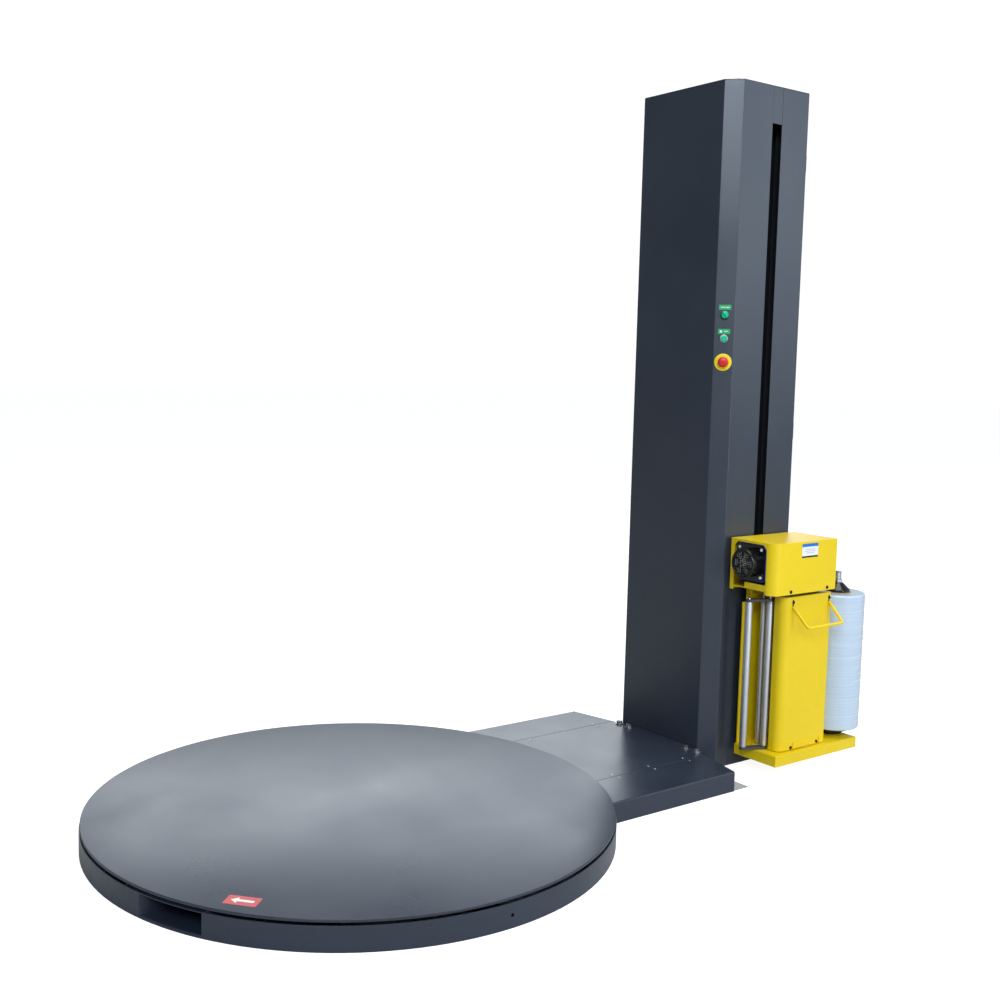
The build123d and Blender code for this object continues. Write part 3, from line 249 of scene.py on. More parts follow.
def makeFilmMaterial(look):
    # wound clear film: a milky body with fine level lines where one turn lies over the next
    material, tree, shader, place = startMaterial("film_plastic", {
        "Coat Weight": 0.5, "Coat Roughness": 0.12, "Subsurface Weight": 0.25, "Subsurface Scale": 0.02})
    shader.inputs["Subsurface Radius"].default_value = (1.0, 1.1, 1.2)
    level = stretched(tree, place, (3.0, 3.0, 1 / look["wrapHeight"]))
    bands = noise(tree, level, 1.0, 5.0, 0.65, 0.3)
    fine = noise(tree, stretched(tree, place, (6.0, 6.0, 2.6 / look["wrapHeight"])), 1.0, 3.0, 0.6)
    tone = blendColour(tree, ranged(tree, bands, 0.38, 0.66, 0.0, 1.0), look["tone"], look["pale"])
    tree.links.new(tone, shader.inputs["Base Color"])
    tree.links.new(ranged(tree, fine, 0.3, 0.7, 0.16, 0.34), shader.inputs["Roughness"])
    height = maths(tree, "ADD", maths(tree, "MULTIPLY", bands, 0.7), maths(tree, "MULTIPLY", fine, 0.3))
    tree.links.new(bumped(tree, height, 0.25, 0.0002), shader.inputs["Normal"])
    return material


# turnPitch is the width of the wound board strip, in metres
boardLook = {"tone": colour(178, 138, 98), "fibre": colour(148, 110, 74), "turnPitch": 0.10}


def makeBoardMaterial(look):
    # spiral-wound board: fibres, and a dark seam at every turn
    material, tree, shader, place = startMaterial("cardboard", {"Roughness": 0.85, "Specular IOR Level": 0.2})
    fibres = noise(tree, stretched(tree, place, (260, 260, 90)), 1.0, 5.0, 0.7)
    rings = addNode(tree, "TexWave", {"Vector": place, "Scale": 0.32 / look["turnPitch"], "Distortion": 0.6},
                    wave_type="BANDS", bands_direction="DIAGONAL").outputs["Fac"]
    seam = ranged(tree, rings, 0.0, 0.06, 0.55, 0.0)
    tone = blendColour(tree, ranged(tree, fibres, 0.35, 0.65, 0.0, 1.0), look["tone"], look["fibre"])
    tree.links.new(blendColour(tree, seam, tone, shaded(look["fibre"], 0.5)), shader.inputs["Base Color"])
    tree.links.new(bumped(tree, fibres, 0.5, 0.00015), shader.inputs["Normal"])
    return material


printTones = {
    "printRed": colour(206, 44, 40), "printWhite": colour(240, 241, 240), "printBlue": colour(28, 120, 205),
    "printBlack": colour(30, 31, 36), "printGreen": colour(40, 176, 104), "printInk": colour(190, 176, 190),
}


def makePrint(name, tone):
    # printed film on a label: a flat ink with a faint mottle
    material, tree, shader, place = startMaterial(name, {"Specular IOR Level": 0.4})
    mottle = noise(tree, place, 160.0, 3.0, 0.6)
    tree.links.new(blendColour(tree, mottle, tone, shaded(tone, 0.93)), shader.inputs["Base Color"])
    tree.links.new(ranged(tree, mottle, 0.3, 0.7, 0.30, 0.40), shader.inputs["Roughness"])
    return material


def makeMaterials():
    made = {name: makePaint(name, look) for name, look in paintLooks.items()}
    made.update({name: makeMetal(name, look) for name, look in metalLooks.items()})
    made.update({name: makePlastic(name, look) for name, look in plasticLooks.items()})
    made["film_plastic"] = makeFilmMaterial(filmLook)
    made["cardboard"] = makeBoardMaterial(boardLook)
    made.update({name: makePrint(name, tone) for name, tone in printTones.items()})
    return made


materials = makeMaterials()
print("stage: materials ready,", len(materials))


# every CAD node takes the material of its slot in the record
slotOfNode = {row["node"]: row["material_slot"] for row in frame["record"]["subparts"]}
bodyOfNode = {node: body for body, nodes in frame["record"]["behaviour"]["bodies"].items() for node in nodes}
for nodeName, node in frame["nodes"].items():
    node.data.materials.clear()
    node.data.materials.append(materials[slotOfNode[nodeName]])


# meshes from arrays
def ringFaces(rows, columns, closedRows):
    # quads between neighbouring rows of points, each row closed on itself;
    # closedRows also joins the last row to the first
    i, j = np.meshgrid(np.arange(rows if closedRows else rows - 1), np.arange(columns), indexing="ij")
    down, right = (i + 1) % rows, (j + 1) % columns
    corners = [i * columns + j, i * columns + right, down * columns + right, down * columns + j]
    return np.stack(corners, -1).reshape(-1, 4)


def frameAt(origin, z, x=None):
    # a place and a turn: local z along z, local x as near x as it can be
    z = Vector(z).normalized()
    x = Vector(x) if x is not None else Vector((1, 0, 0) if abs(z.x) < 0.9 else (0, 1, 0))
    y = z.cross(x).normalized()
    turn = Matrix((y.cross(z), y, z)).transposed().to_4x4()
    return Matrix.Translation(origin) @ turn


def placed(points, place):
    # points as rows of three, moved by a 4x4 place
    matrix = np.array(place)
    return points @ matrix[:3, :3].T + matrix[:3, 3]


def lathe(profile, place, segments=48, closed=False, swell=None):
    # each profile point (radius, height) goes round the axis: (r cos t, r sin t, h);
    # swell(t, h) may add to the radius
    p = np.array(profile, float)
    t = np.arange(segments) * 2 * pi / segments
    radius = np.repeat(p[:, :1], segments, 1)
    height = np.repeat(p[:, 1:2], segments, 1)
    if swell is not None:
        radius = radius + swell(t[None, :], height)
    grid = np.stack([radius * np.cos(t), radius * np.sin(t), height], -1).reshape(-1, 3)
    return placed(grid, place), ringFaces(len(p), segments, closed)


def roundedProfile(corners, radius, steps=4):
    # an outline of (r, h) corners, each rounded by the curve (1-s)^2 start + 2s(1-s) corner + s^2 end
    p = np.array(corners, float)
    made = [p[0]]
    for before, here, after in zip(p[:-2], p[1:-1], p[2:]):
        back, on = before - here, after - here
        reach = min(radius, np.hypot(*back) / 2, np.hypot(*on) / 2)
        start, end = here + back / np.hypot(*back) * reach, here + on / np.hypot(*on) * reach
        s = np.linspace(0, 1, steps)[:, None]
        made.extend((1 - s) ** 2 * start + 2 * s * (1 - s) * here + s ** 2 * end)
    made.append(p[-1])
    return np.array(made)


def joined(parts):
    # several (points, faces) as one
    points, faces, count = [], [], 0
    for partPoints, partFaces in parts:
        points.append(partPoints)
        faces.extend((np.asarray(f) + count).tolist() for f in partFaces)
        count += len(partPoints)
    return np.concatenate(points), faces


def slab(outline, low, high, place):
    # a flat outline in local x, y drawn from low to high along local z
    p = np.array(outline, float)
    n = len(p)
    points = np.concatenate([np.column_stack([p, np.full(n, low)]), np.column_stack([p, np.full(n, high)])])
    k = np.arange(n)
    following = (k + 1) % n
    sides = np.column_stack([k, following, n + following, n + k]).tolist()
    return placed(points, place), [k[::-1].tolist(), (n + k).tolist()] + sides


def roundedRectangle(width, height, radius, steps=5, centre=(0, 0)):
    # four quarter arcs joined by straight sides
    t = np.linspace(0, pi / 2, steps)
    parts = []
    for k, (sx, sy) in enumerate(((1, 1), (-1, 1), (-1, -1), (1, -1))):
        cx, cy = sx * (width / 2 - radius) + centre[0], sy * (height / 2 - radius) + centre[1]
        turn = t + k * pi / 2
        parts.append(np.column_stack([cx + radius * np.cos(turn), cy + radius * np.sin(turn)]))
    return np.concatenate(parts)


def addPiece(name, parts, material, body, stands=(), bevel=0.0, smooth=35):
    # one mesh object from (points, faces) parts, welded, facing outwards, riding on its body
    points, faces = joined(parts)
    mesh = bpy.data.meshes.new(name)
    mesh.from_pydata(points.tolist(), [], [list(f) for f in faces])
    work = bmesh.new()
    work.from_mesh(mesh)
    bmesh.ops.remove_doubles(work, verts=work.verts, dist=1e-6)
    bmesh.ops.recalc_face_normals(work, faces=work.faces)
    work.to_mesh(mesh)
    work.free()
    finishPiece(name, mesh, material, body, stands, bevel, smooth)


def finishPiece(name, mesh, material, body, stands, bevel, smooth):
    # material, smoothing by angle in degrees, a bevel where asked for, then its body, slot and nodes
    mesh.materials.clear()
    mesh.materials.append(materials[material])
    mesh.shade_smooth()
    mesh.set_sharp_from_angle(angle=radians(smooth))
    piece = bpy.data.objects.new(name, mesh)
    scene.collection.objects.link(piece)
    if bevel > 0:
        edge = piece.modifiers.new("edge", "BEVEL")
        edge.width, edge.segments, edge.limit_method = bevel, 2, "ANGLE"
        edge.angle_limit = radians(smooth)
        edge.harden_normals = True
    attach(piece, body)
    if stands:
        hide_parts(*stands)


def roundedCopy(nodeName, width):
    # the CAD node's own shape, welded into whole faces, with its sheet edges rounded off
    mesh = frame["nodes"][nodeName].data.copy()
    work = bmesh.new()
    work.from_mesh(mesh)
    bmesh.ops.remove_doubles(work, verts=work.verts, dist=2e-6)
    bmesh.ops.dissolve_limit(work, angle_limit=radians(0.4), verts=work.verts, edges=work.edges)
    work.to_mesh(mesh)
    work.free()
    slotName = slotOfNode[nodeName]
    finishPiece(nodeName + "_finished", mesh, slotName, bodyOfNode[nodeName], [nodeName], width,
                sheetSmooth)


# folded sheet, tubes and castings whose edges catch the light: bevel widths in metres
sheetSmooth = 32
edgeWidths = {
    "skirt_ring": 0.0010, "fork_tubes": 0.0010, "deck_shells": 0.0014, "deck_cover_plate": 0.0010,
    "mast_front_shell": 0.0008, "mast_slot_panels": 0.0010, "mast_far_panel": 0.0010,
    "mast_rear_door": 0.0010, "mast_top_cap": 0.0010,
    "carriage_tray": 0.0014, "carriage_back_plate": 0.0010, "upper_plate": 0.0010,
    "motor_cover": 0.0009, "front_cover": 0.0009, "fan_cowl": 0.0006, "dancer_arm": 0.0012,
    "slider_frame": 0.0012, "electrical_cabinet": 0.0015, "cover_handle": 0.0003,
}
for nodeName, width in edgeWidths.items():
    roundedCopy(nodeName, width)
print("stage: sheet edges rounded")


# turntable: one turned plate with a rounded rim
turntableLook = {"rimRound": 0.0012, "segments": 240}
plateLow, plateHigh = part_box("turntable_plate")


def makeTurntablePlate(look):
    # profile from the centre under the plate, round its rim and back to the centre on top
    radius = plateHigh.x
    corners = [(0, plateLow.z), (radius, plateLow.z), (radius, plateHigh.z), (0, plateHigh.z)]
    profile = roundedProfile(corners, look["rimRound"])
    addPiece("turntable_plate_finished", [lathe(profile, Matrix.Identity(4), look["segments"])], "base_paint",
             "turntable", ["turntable_plate"])


makeTurntablePlate(turntableLook)


# direction sticker: a red label with a white arrow, on the plate near its edge
arrowLook = {"centre": (-0.580, -0.456), "size": (0.088, 0.049), "along": (-59.0, 66.0), "thickness": 0.0003,
             "corner": 0.002, "length": 0.062, "shaft": 0.011, "head": 0.030, "headShare": 0.62}


def makeArrowSticker(look):
    # a rounded plate, and on it a shaft with a head that is headShare as long as it is wide
    along = Vector((look["along"][0], look["along"][1], 0))
    place = frameAt((*look["centre"], plateHigh.z), (0, 0, 1), along)
    width, height = look["size"]
    thick = look["thickness"]
    plate = slab(roundedRectangle(width, height, look["corner"]), 0.0, thick, place)
    addPiece("direction_sticker", [plate], "printRed", "turntable")
    half, head, shaft = look["length"] / 2, look["head"], look["shaft"] / 2
    neck = half - head * look["headShare"]
    outline = [(half, 0), (neck, head / 2), (neck, shaft), (-half, shaft), (-half, -shaft), (neck, -shaft),
               (neck, -head / 2)]
    addPiece("direction_arrow", [slab(outline, thick, thick * 1.6, place)], "printWhite", "turntable")


makeArrowSticker(arrowLook)
print("stage: turntable done")


# places that several pieces share, read from the frame
boxOf = {name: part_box(name) for name in frame["nodes"]}
jointOf = {joint["name"]: joint for joint in frame["joints"]}


def upright(x, y, z):
    return Matrix.Translation((x, y, z))


def standing(nodeName):
    # an upright turned node: its axis on the floor, its foot, its top and its radius
    low, high = boxOf[nodeName]
    return upright((low.x + high.x) / 2, (low.y + high.y) / 2, 0), low.z, high.z, (high.x - low.x) / 2


# film roll: turns of thin film, a little uneven along its height, with the loose end's step
rollLook = {"segments": 160, "rows": 150, "blend": 9, "wave": 0.0003, "edge": 0.006, "edgeSteps": 6,
            "endRings": 34, "turnDepth": 0.0002, "step": 0.0004, "stepTurn": 3.6, "stepLean": 0.35, "seed": 7}


def makeFilmRoll(look):
    # profile: out along the turns below, round a quarter arc, up the wavy side, round and back in above
    axis, foot, top, outer = standing("film_roll")
    inner = standing("film_core")[3]
    rim, edge, rows, blend = outer - look["wave"] * 2, look["edge"], look["rows"], look["blend"]
    drawn = np.random.default_rng(look["seed"]).uniform(-1, 1, rows + blend - 1)
    layers = np.convolve(drawn, np.ones(blend) / blend, "valid") * look["wave"] * 2
    side = np.column_stack([rim + layers, np.linspace(foot + edge, top - edge, rows)])
    across = np.linspace(rim - edge, inner, look["endRings"])
    sunk = np.where(np.arange(look["endRings"]) % 2 == 0, 0.0, look["turnDepth"])
    below = np.column_stack([across[::-1], foot + sunk])
    above = np.column_stack([across, top - sunk])
    t = np.linspace(0, pi / 2, look["edgeSteps"])[1:-1]
    bend = np.column_stack([rim - edge * (1 - np.sin(t)), edge * (1 - np.cos(t))])
    lower, upper = bend + [0, foot], (bend * [1, -1] + [0, top])[::-1]

    def looseEnd(turn, height):
        # the outermost turn ends in a step that leans a little along the roll
        start = look["stepLean"] * (height - foot) + look["stepTurn"]
        onSide = np.clip((height - foot) / edge, 0, 1) * np.clip((top - height) / edge, 0, 1)
        return look["step"] * (((turn - start) / (2 * pi)) % 1.0) * onSide

    profile = np.concatenate([below, lower, side, upper, above])
    shape = lathe(profile, axis, look["segments"], True, looseEnd)
    addPiece("film_turns", [shape], "film_plastic", "film", ["film_roll"], smooth=50)


makeFilmRoll(rollLook)


# cardboard core, its clamp with the disc under the roll, and the nut and thread of the spindle
coreLook = {"wall": 0.0095, "round": 0.0008, "segments": 96}
clampLook = {
    "segments": 96,
    "bore": 0.01055,
    "cone": {"brim": 0.043, "brimHeight": 0.008, "shoulder": 0.019, "tip": 0.017, "round": 0.0015},
    "ribs": {"count": 12, "depth": 0.0022, "above": 0.009, "fadeIn": 0.006, "fadeOut": 0.008},
    "disc": {"radius": 0.062, "thickness": 0.012, "boss": 0.040, "plug": 0.0375, "plugEnd": 0.032,
             "round": 0.001},
    "lap": 0.001,       # from a profile's last point to its first one
}
nutLook = {"bore": 0.01095, "corner": 0.0168, "face": 0.0150, "height": 0.012, "chamfer": 0.0012,
           "round": 0.0003, "gap": 0.0002, "segments": 48}
threadLook = {"core": 0.01062, "depth": 0.0006, "pitch": 0.0030, "rows": 176, "segments": 40, "rise": 0.041,
              "length": 0.040, "tip": 0.002, "tipRadius": 0.0085, "lip": 0.00002}


def makeCore(look):
    # a plain tube whose profile starts in the middle of its lower rim
    axis, foot, top, outer = standing("film_core")
    middle, inner = outer - look["wall"] / 2, outer - look["wall"]
    corners = [(middle, foot), (outer, foot), (outer, top), (inner, top), (inner, foot), (middle, foot)]
    profile = roundedProfile(corners, look["round"])[:-1]
    addPiece("core_tube", [lathe(profile, axis, look["segments"], True)], "cardboard", "film",
             ["film_core"])


def makeClamp(look):
    # a ribbed cone pressed into the core, and a wide disc with a plug under the roll
    axis, foot, top, _ = standing("film_mandrel")
    _, coreFoot, coreTop, _ = standing("film_core")
    cone, ribs, disc, bore, lap = look["cone"], look["ribs"], look["disc"], look["bore"], look["lap"]
    brim = coreTop + cone["brimHeight"]
    upper = roundedProfile([(bore, coreTop), (cone["brim"], coreTop), (cone["brim"], brim),
                            (cone["shoulder"], top - lap), (cone["tip"], top), (bore, top),
                            (bore, coreTop + lap)], cone["round"])

    def ribbed(turn, height):
        # ribs fade in above the flat brim: depth (1/2 - 1/2 cos(count turn))^2
        risen = np.clip((height - coreTop - ribs["above"]) / ribs["fadeIn"], 0, 1)
        left = np.clip((top - height) / ribs["fadeOut"], 0, 1)
        return -ribs["depth"] * risen * left * (0.5 - 0.5 * np.cos(turn * ribs["count"])) ** 2

    under, plugTop = coreFoot - disc["thickness"], coreTop - disc["plugEnd"]
    boss, plug, wide = disc["boss"], disc["plug"], disc["radius"]
    lower = roundedProfile([(bore, foot), (boss, foot), (boss, under), (wide, under), (wide, coreFoot),
                            (plug, coreFoot), (plug, plugTop), (bore, plugTop), (bore, foot + lap)],
                           disc["round"])
    addPiece("core_clamp", [lathe(upper, axis, look["segments"], True, ribbed),
                            lathe(lower, axis, look["segments"], True)],
             "black_plastic", "film", ["film_mandrel"])


def sixFlats(turn, corner):
    # what to add to a circle through a hexagon's corners to pull it in to the six flats:
    # corner cos 30 / cos(turn from the nearest flat's middle) - corner
    return corner * cos(pi / 6) / np.cos((turn + pi / 6) % (pi / 3) - pi / 6) - corner


def makeSpindleNut(look):
    # a round nut with both ends chamfered, pulled in to six flats
    axis, _, top, _ = standing("film_mandrel")
    bore, corner, face = look["bore"], look["corner"], look["face"]
    height, chamfer = look["height"], look["chamfer"]
    profile = roundedProfile([(bore, 0), (face, 0), (corner, chamfer), (corner, height - chamfer),
                              (face, height), (bore, height), (bore, look["gap"])], look["round"])
    place = axis @ upright(0, 0, top + look["gap"])
    nut = lathe(profile, place, look["segments"], True, lambda turn, h: sixFlats(turn, corner))
    addPiece("spindle_nut", [nut], "zinc_steel", "carriage")


def makeSpindleThread(look):
    # a screw thread: radius is core + depth (1/2 + 1/2 sin(2 pi height / pitch - turn))
    axis = standing("film_roll")[0]
    top = boxOf["film_mandrel"][1].z + look["rise"]
    heights = np.linspace(top - look["length"], top - look["tip"], look["rows"])
    side = np.column_stack([np.full(look["rows"], look["core"]), heights])
    foot = [[0.0, heights[0] - 0.0001], [look["core"] - look["lip"], heights[0]]]
    tip = [[look["tipRadius"], top], [0.0, top]]

    def crest(turn, height):
        inside = (height > heights[0] + look["pitch"] / 2) & (height < heights[-1])
        wave = 0.5 + 0.5 * np.sin(2 * pi * height / look["pitch"] - turn)
        return np.where(inside, look["depth"] * wave, 0.0)

    shape = lathe(np.concatenate([foot, side, tip]), axis, look["segments"], False, crest)
    addPiece("spindle_thread", [shape], "zinc_steel", "carriage")


makeCore(coreLook)
makeClamp(clampLook)
makeSpindleNut(nutLook)
makeSpindleThread(threadLook)
print("stage: film and spindle done")


# guide rollers: turned tubes with a stepped collar, and a black plug in each end
rollerLook = {"bore": 0.0061, "collar": 0.006, "collarStep": 0.0012, "round": 0.0005, "lap": 0.0008,
              "segments": 64,
              "plug": {"share": 0.72, "thickness": 0.0012, "proud": 0.0001, "segments": 40}}


def makeGuideRoller(nodeName, look):
    # tube profile: up the outside over both collars, and back down the bore
    axis, foot, top, radius = standing(nodeName)
    bore, neck, collar, plug = look["bore"], radius - look["collarStep"], look["collar"], look["plug"]
    corners = [(bore, foot), (neck, foot), (neck, foot + collar), (radius, foot + collar),
               (radius, top - collar), (neck, top - collar), (neck, top), (bore, top),
               (bore, foot + look["lap"])]
    shape = lathe(roundedProfile(corners, look["round"]), axis, look["segments"], True)
    addPiece(nodeName + "_tube", [shape], "roller_aluminium", nodeName, [nodeName])
    plugs = []
    edge, deep, proud = radius * plug["share"], plug["thickness"], plug["proud"]
    for low, high in ((foot - proud, foot + deep), (top - deep, top + proud)):
        ring = [(bore, low), (edge, low), (edge, high), (bore, high)]
        plugs.append(lathe(ring, axis, plug["segments"], True))
    addPiece(nodeName + "_plugs", plugs, "black_plastic", nodeName)


for nodeName in ("idle_roller", "pivot_roller", "dancer_roller"):
    makeGuideRoller(nodeName, rollerLook)


# rubber-covered stretch rollers: a ground cover with shallow spiral grooves, over steel ends
stretchLook = {"radius": 0.0322, "endRadius": 0.0245, "endInset": 0.012, "endStep": 0.0015,
               "aboveRoll": 0.010, "grooves": 22, "grooveDepth": 0.0006, "grooveSharp": 6, "segments": 96,
               "rows": 180}


def makeStretchRoller(nodeName, look):
    # a cylinder with its ends closed in to the steel core
    joint = jointOf[nodeName + "_spin"]["pos_m"]
    low, high = boxOf["idle_roller"][0].z, boxOf["film_roll"][1].z + look["aboveRoll"]
    heights = np.linspace(low + look["endInset"], high - look["endInset"], look["rows"])
    side = np.column_stack([np.full(look["rows"], look["radius"]), heights])
    foot = [[look["endRadius"], heights[0] - look["endStep"]]]
    head = [[look["endRadius"], heights[-1] + look["endStep"]]]
    profile = np.concatenate([foot, side, head])

    def grooved(turn, height):
        # two shallow grooves wind from the middle to the ends: deepest where cos(phase) is 1
        middle, sharp = (low + high) / 2, look["grooveSharp"]
        phase = np.abs(height - middle) / (high - low) * look["grooves"] * 2 * pi - turn
        return -look["grooveDepth"] * np.clip(np.cos(phase) * sharp - (sharp - 1), 0, 1)

    shape = lathe(profile, upright(joint[0], joint[1], 0), look["segments"], False, grooved)
    addPiece(nodeName + "_rubber", [shape], "roller_rubber", nodeName, smooth=60)


for nodeName in ("stretch_roller_slow", "stretch_roller_fast"):
    makeStretchRoller(nodeName, stretchLook)
print("stage: rollers done")


# fasteners: radius and height of each kind of head
screwLook = {
    "cover": {"radius": 0.0062, "height": 0.0034},
    "fan": {"radius": 0.0052, "height": 0.0034},
    "foot": {"radius": 0.0110, "height": 0.0120},
    "cap": {"radius": 0.0070, "height": 0.0048},
    "deck": {"radius": 0.0050, "height": 0.0016, "sunk": 0.0004, "perRow": 3, "fromEnds": (0.10, 0.12),
             "onPlate": 0.016, "onShell": 0.018},
}


def screwHead(place, radius, height, kind):
    # kind "pan" is a domed head with a round socket, "hex" a six-sided head on a washer;
    # both profiles are shares of the radius and of the height
    if kind == "pan":
        profile = [(0.0, height * 0.45), (radius * 0.40, height * 0.45), (radius * 0.44, height),
                   (radius * 0.78, height * 0.93), (radius, height * 0.45), (radius, 0.0), (0.0, 0.0)]
        return lathe(profile, place, 24)
    washer, rim = height * 0.20, radius * 1.45
    profile = [(0.0, height), (radius * 0.80, height), (radius, height * 0.90), (radius, height * 0.24),
               (radius, washer), (rim, washer), (rim, 0.0), (0.0, 0.0)]

    def sixSided(turn, h):
        # the head alone gets flats; the washer stays round
        return np.where(h > height * 0.22, sixFlats(turn, radius), 0.0)

    return lathe(profile, place, 48, False, sixSided)


def nodeIslands(nodeName):
    # the box of each separate solid in a CAD node, from its welded triangles
    work = bmesh.new()
    work.from_mesh(frame["nodes"][nodeName].data)
    bmesh.ops.remove_doubles(work, verts=work.verts, dist=2e-6)
    work.verts.ensure_lookup_table()
    seen, boxes = set(), []
    for vertex in work.verts:
        if vertex.index in seen:
            continue
        seen.add(vertex.index)
        stack, places = [vertex], []
        while stack:
            here = stack.pop()
            places.append(here.co.copy())
            for edge in here.link_edges:
                other = edge.other_vert(here)
                if other.index not in seen:
                    seen.add(other.index)
                    stack.append(other)
        places = np.array(places)
        boxes.append((Vector(places.min(0)), Vector(places.max(0))))
    work.free()
    return boxes


def makeCarriageScrews(look):
    # a head on each CAD screw's shank: the fan plate's bolts look to -X, the covers' screws to -Y
    fan, cover = look["fan"], look["cover"]
    black, silver = [], []
    for low, high in nodeIslands("carriage_screws"):
        middle, size = (low + high) / 2, high - low
        if size.x < size.y:
            place = frameAt((high.x, middle.y, middle.z), (-1, 0, 0))
            silver.append(screwHead(place, fan["radius"], fan["height"], "pan"))
        else:
            place = frameAt((middle.x, high.y, middle.z), (0, -1, 0))
            black.append(screwHead(place, cover["radius"], cover["height"], "pan"))
    addPiece("cover_screws", black, "black_plastic", "carriage", ["carriage_screws"])
    # the fan plate's bolts are coloured white as a painted highlight: the white stands in for the glint on their
    # heads, which sit in the cover's shade
    addPiece("fan_plate_bolts_painted_highlight", silver, "wheel_nylon", "carriage")


def makeMastBolts(look):
    # big bolts near the floor, small ones on the mast's cap
    heads = []
    for low, high in nodeIslands("mast_bolts"):
        middle = (low + high) / 2
        size = look["foot" if low.z < 0.5 else "cap"]
        heads.append(screwHead(upright(middle.x, middle.y, low.z), size["radius"], size["height"], "hex"))
    addPiece("foot_and_cap_bolts", heads, "zinc_steel", "root", ["mast_bolts"])


def makeDeckScrews(look):
    # sunk screws along both edges of the lift-off plate and of the side decks
    low, high = boxOf["deck_cover_plate"]
    heads, size = [], look["deck"]
    first, last = size["fromEnds"]
    for side in (-1, 1):
        for x in np.linspace(low.x + first, high.x - last, size["perRow"]):
            for y in (high.y - size["onPlate"], high.y + size["onShell"]):
                place = upright(x, side * y, high.z - size["sunk"])
                heads.append(screwHead(place, size["radius"], size["height"], "pan"))
    addPiece("deck_screws", heads, "zinc_steel", "root")


makeCarriageScrews(screwLook)
makeMastBolts(screwLook)
makeDeckScrews(screwLook)
print("stage: fasteners done")


# controls on the cut corner of the mast; local z points outwards there, local y is up
selectorPlace = jointOf["selector_turn"]["pos_m"]
outward = Vector(jointOf["selector_turn"]["axis"])
controlHeights = {"selector": selectorPlace[2],
                  "start": (boxOf["start_button"][0].z + boxOf["start_button"][1].z) / 2,
                  "estop": jointOf["estop_twist"]["pos_m"][2]}


def controlPlace(z):
    return frameAt((selectorPlace[0], selectorPlace[1], z), outward, outward.cross(Vector((0, 0, -1))))


controlLook = {
    "bezel": {"radius": 0.0147, "height": 0.0040, "inner": 0.0092, "taper": 0.0008, "round": 0.0007},
    "barrel": {"radius": 0.0110, "depth": 0.046},
    "block": {"size": 0.030, "corner": 0.002, "depth": 0.048, "gap": 0.0031},
    "stem": {"radius": 0.0089, "depth": 0.014},
    "selector": {"radius": 0.0123, "foot": 0.0046, "height": 0.0110, "grip": (0.0230, 0.0056, 0.0042)},
    "start": {"radius": 0.0102, "foot": 0.0083, "height": 0.0030},
    "disc": {"radius": 0.0300, "thickness": 0.0020, "hole": 0.0112, "chamfer": 0.0006},
    "head": {"radius": 0.0180, "foot": 0.0113, "height": 0.0160, "bore": 0.0091, "round": 0.0022},
    "label": {"size": (0.041, 0.017), "corner": 0.0015, "thickness": 0.0004},
    "labelLift": {"selector": 0.026, "start": 0.025},
    "mark": {"rise": 0.0002, "corner": 0.0008, "bar": (0.030, 0.0024), "dot": 0.0042, "dotAt": (-0.011, 0.0),
             "dotRise": 0.00032, "dash": (0.014, 0.0022), "dashAt": (0.006, 0.001)},
    "lap": 0.0002,      # from a profile's last point to its first one
}


def makeBezels(look):
    # a tapered ring on the face for each control, its barrel through the sheet and its contact block behind
    bezel, barrel, block = look["bezel"], look["barrel"], look["block"]
    inner, outer = bezel["inner"], bezel["radius"]
    black, silver = [], []
    for name, z in controlHeights.items():
        foot = look["disc"]["thickness"] if name == "estop" else 0.0
        top = foot + bezel["height"]
        corners = [(inner, foot), (outer, foot), (outer - bezel["taper"], top), (inner, top),
                   (inner, foot + look["lap"])]
        ring = lathe(roundedProfile(corners, bezel["round"]), controlPlace(z), 64, True)
        (silver if name == "start" else black).append(ring)
        tube = [(inner, -barrel["depth"]), (barrel["radius"], -barrel["depth"]), (barrel["radius"], foot),
                (inner, foot)]
        black.append(lathe(tube, controlPlace(z), 32, True))
        outline = roundedRectangle(block["size"], block["size"], block["corner"])
        black.append(slab(outline, -block["depth"], -block["gap"], controlPlace(z)))
    addPiece("control_bezels", black, "black_plastic", "root", ["control_bodies"])
    addPiece("start_bezel", silver, "zinc_steel", "root")


def makeSelector(look):
    # a round green knob with one raised diagonal ridge, on a short stem
    knob, stem = look["selector"], look["stem"]
    place = controlPlace(controlHeights["selector"])
    foot, top = knob["foot"], knob["foot"] + knob["height"]
    corners = [(0.0, -stem["depth"]), (stem["radius"], -stem["depth"]), (stem["radius"], foot),
               (knob["radius"] - 0.0008, foot), (knob["radius"], top), (0.0, top)]
    body = lathe(roundedProfile(corners, 0.0012), place, 64)
    length, width, rise = knob["grip"]
    ridge = slab(roundedRectangle(length, width, width * 0.35), top - 0.001, top + rise,
                 place @ Matrix.Rotation(radians(-45), 4, "Z"))
    addPiece("selector_grip", [body], "button_green", "selector", ["selector_knob"])
    addPiece("selector_ridge", [ridge], "button_green", "selector", bevel=0.0009)


def makeStartButton(look):
    # a flat cap on a stem, a little hollow in the middle
    cap, stem = look["start"], look["stem"]
    place = controlPlace(controlHeights["start"])
    foot, top, wide = cap["foot"], cap["foot"] + cap["height"], cap["radius"]
    corners = [(0.0, -stem["depth"]), (stem["radius"], -stem["depth"]), (stem["radius"], foot - 0.0003),
               (wide, foot), (wide, top - 0.0004), (wide - 0.0012, top), (0.0, top - 0.0004)]
    addPiece("start_cap", [lathe(roundedProfile(corners, 0.0006), place, 64)], "button_green", "start_button",
             ["start_button"])


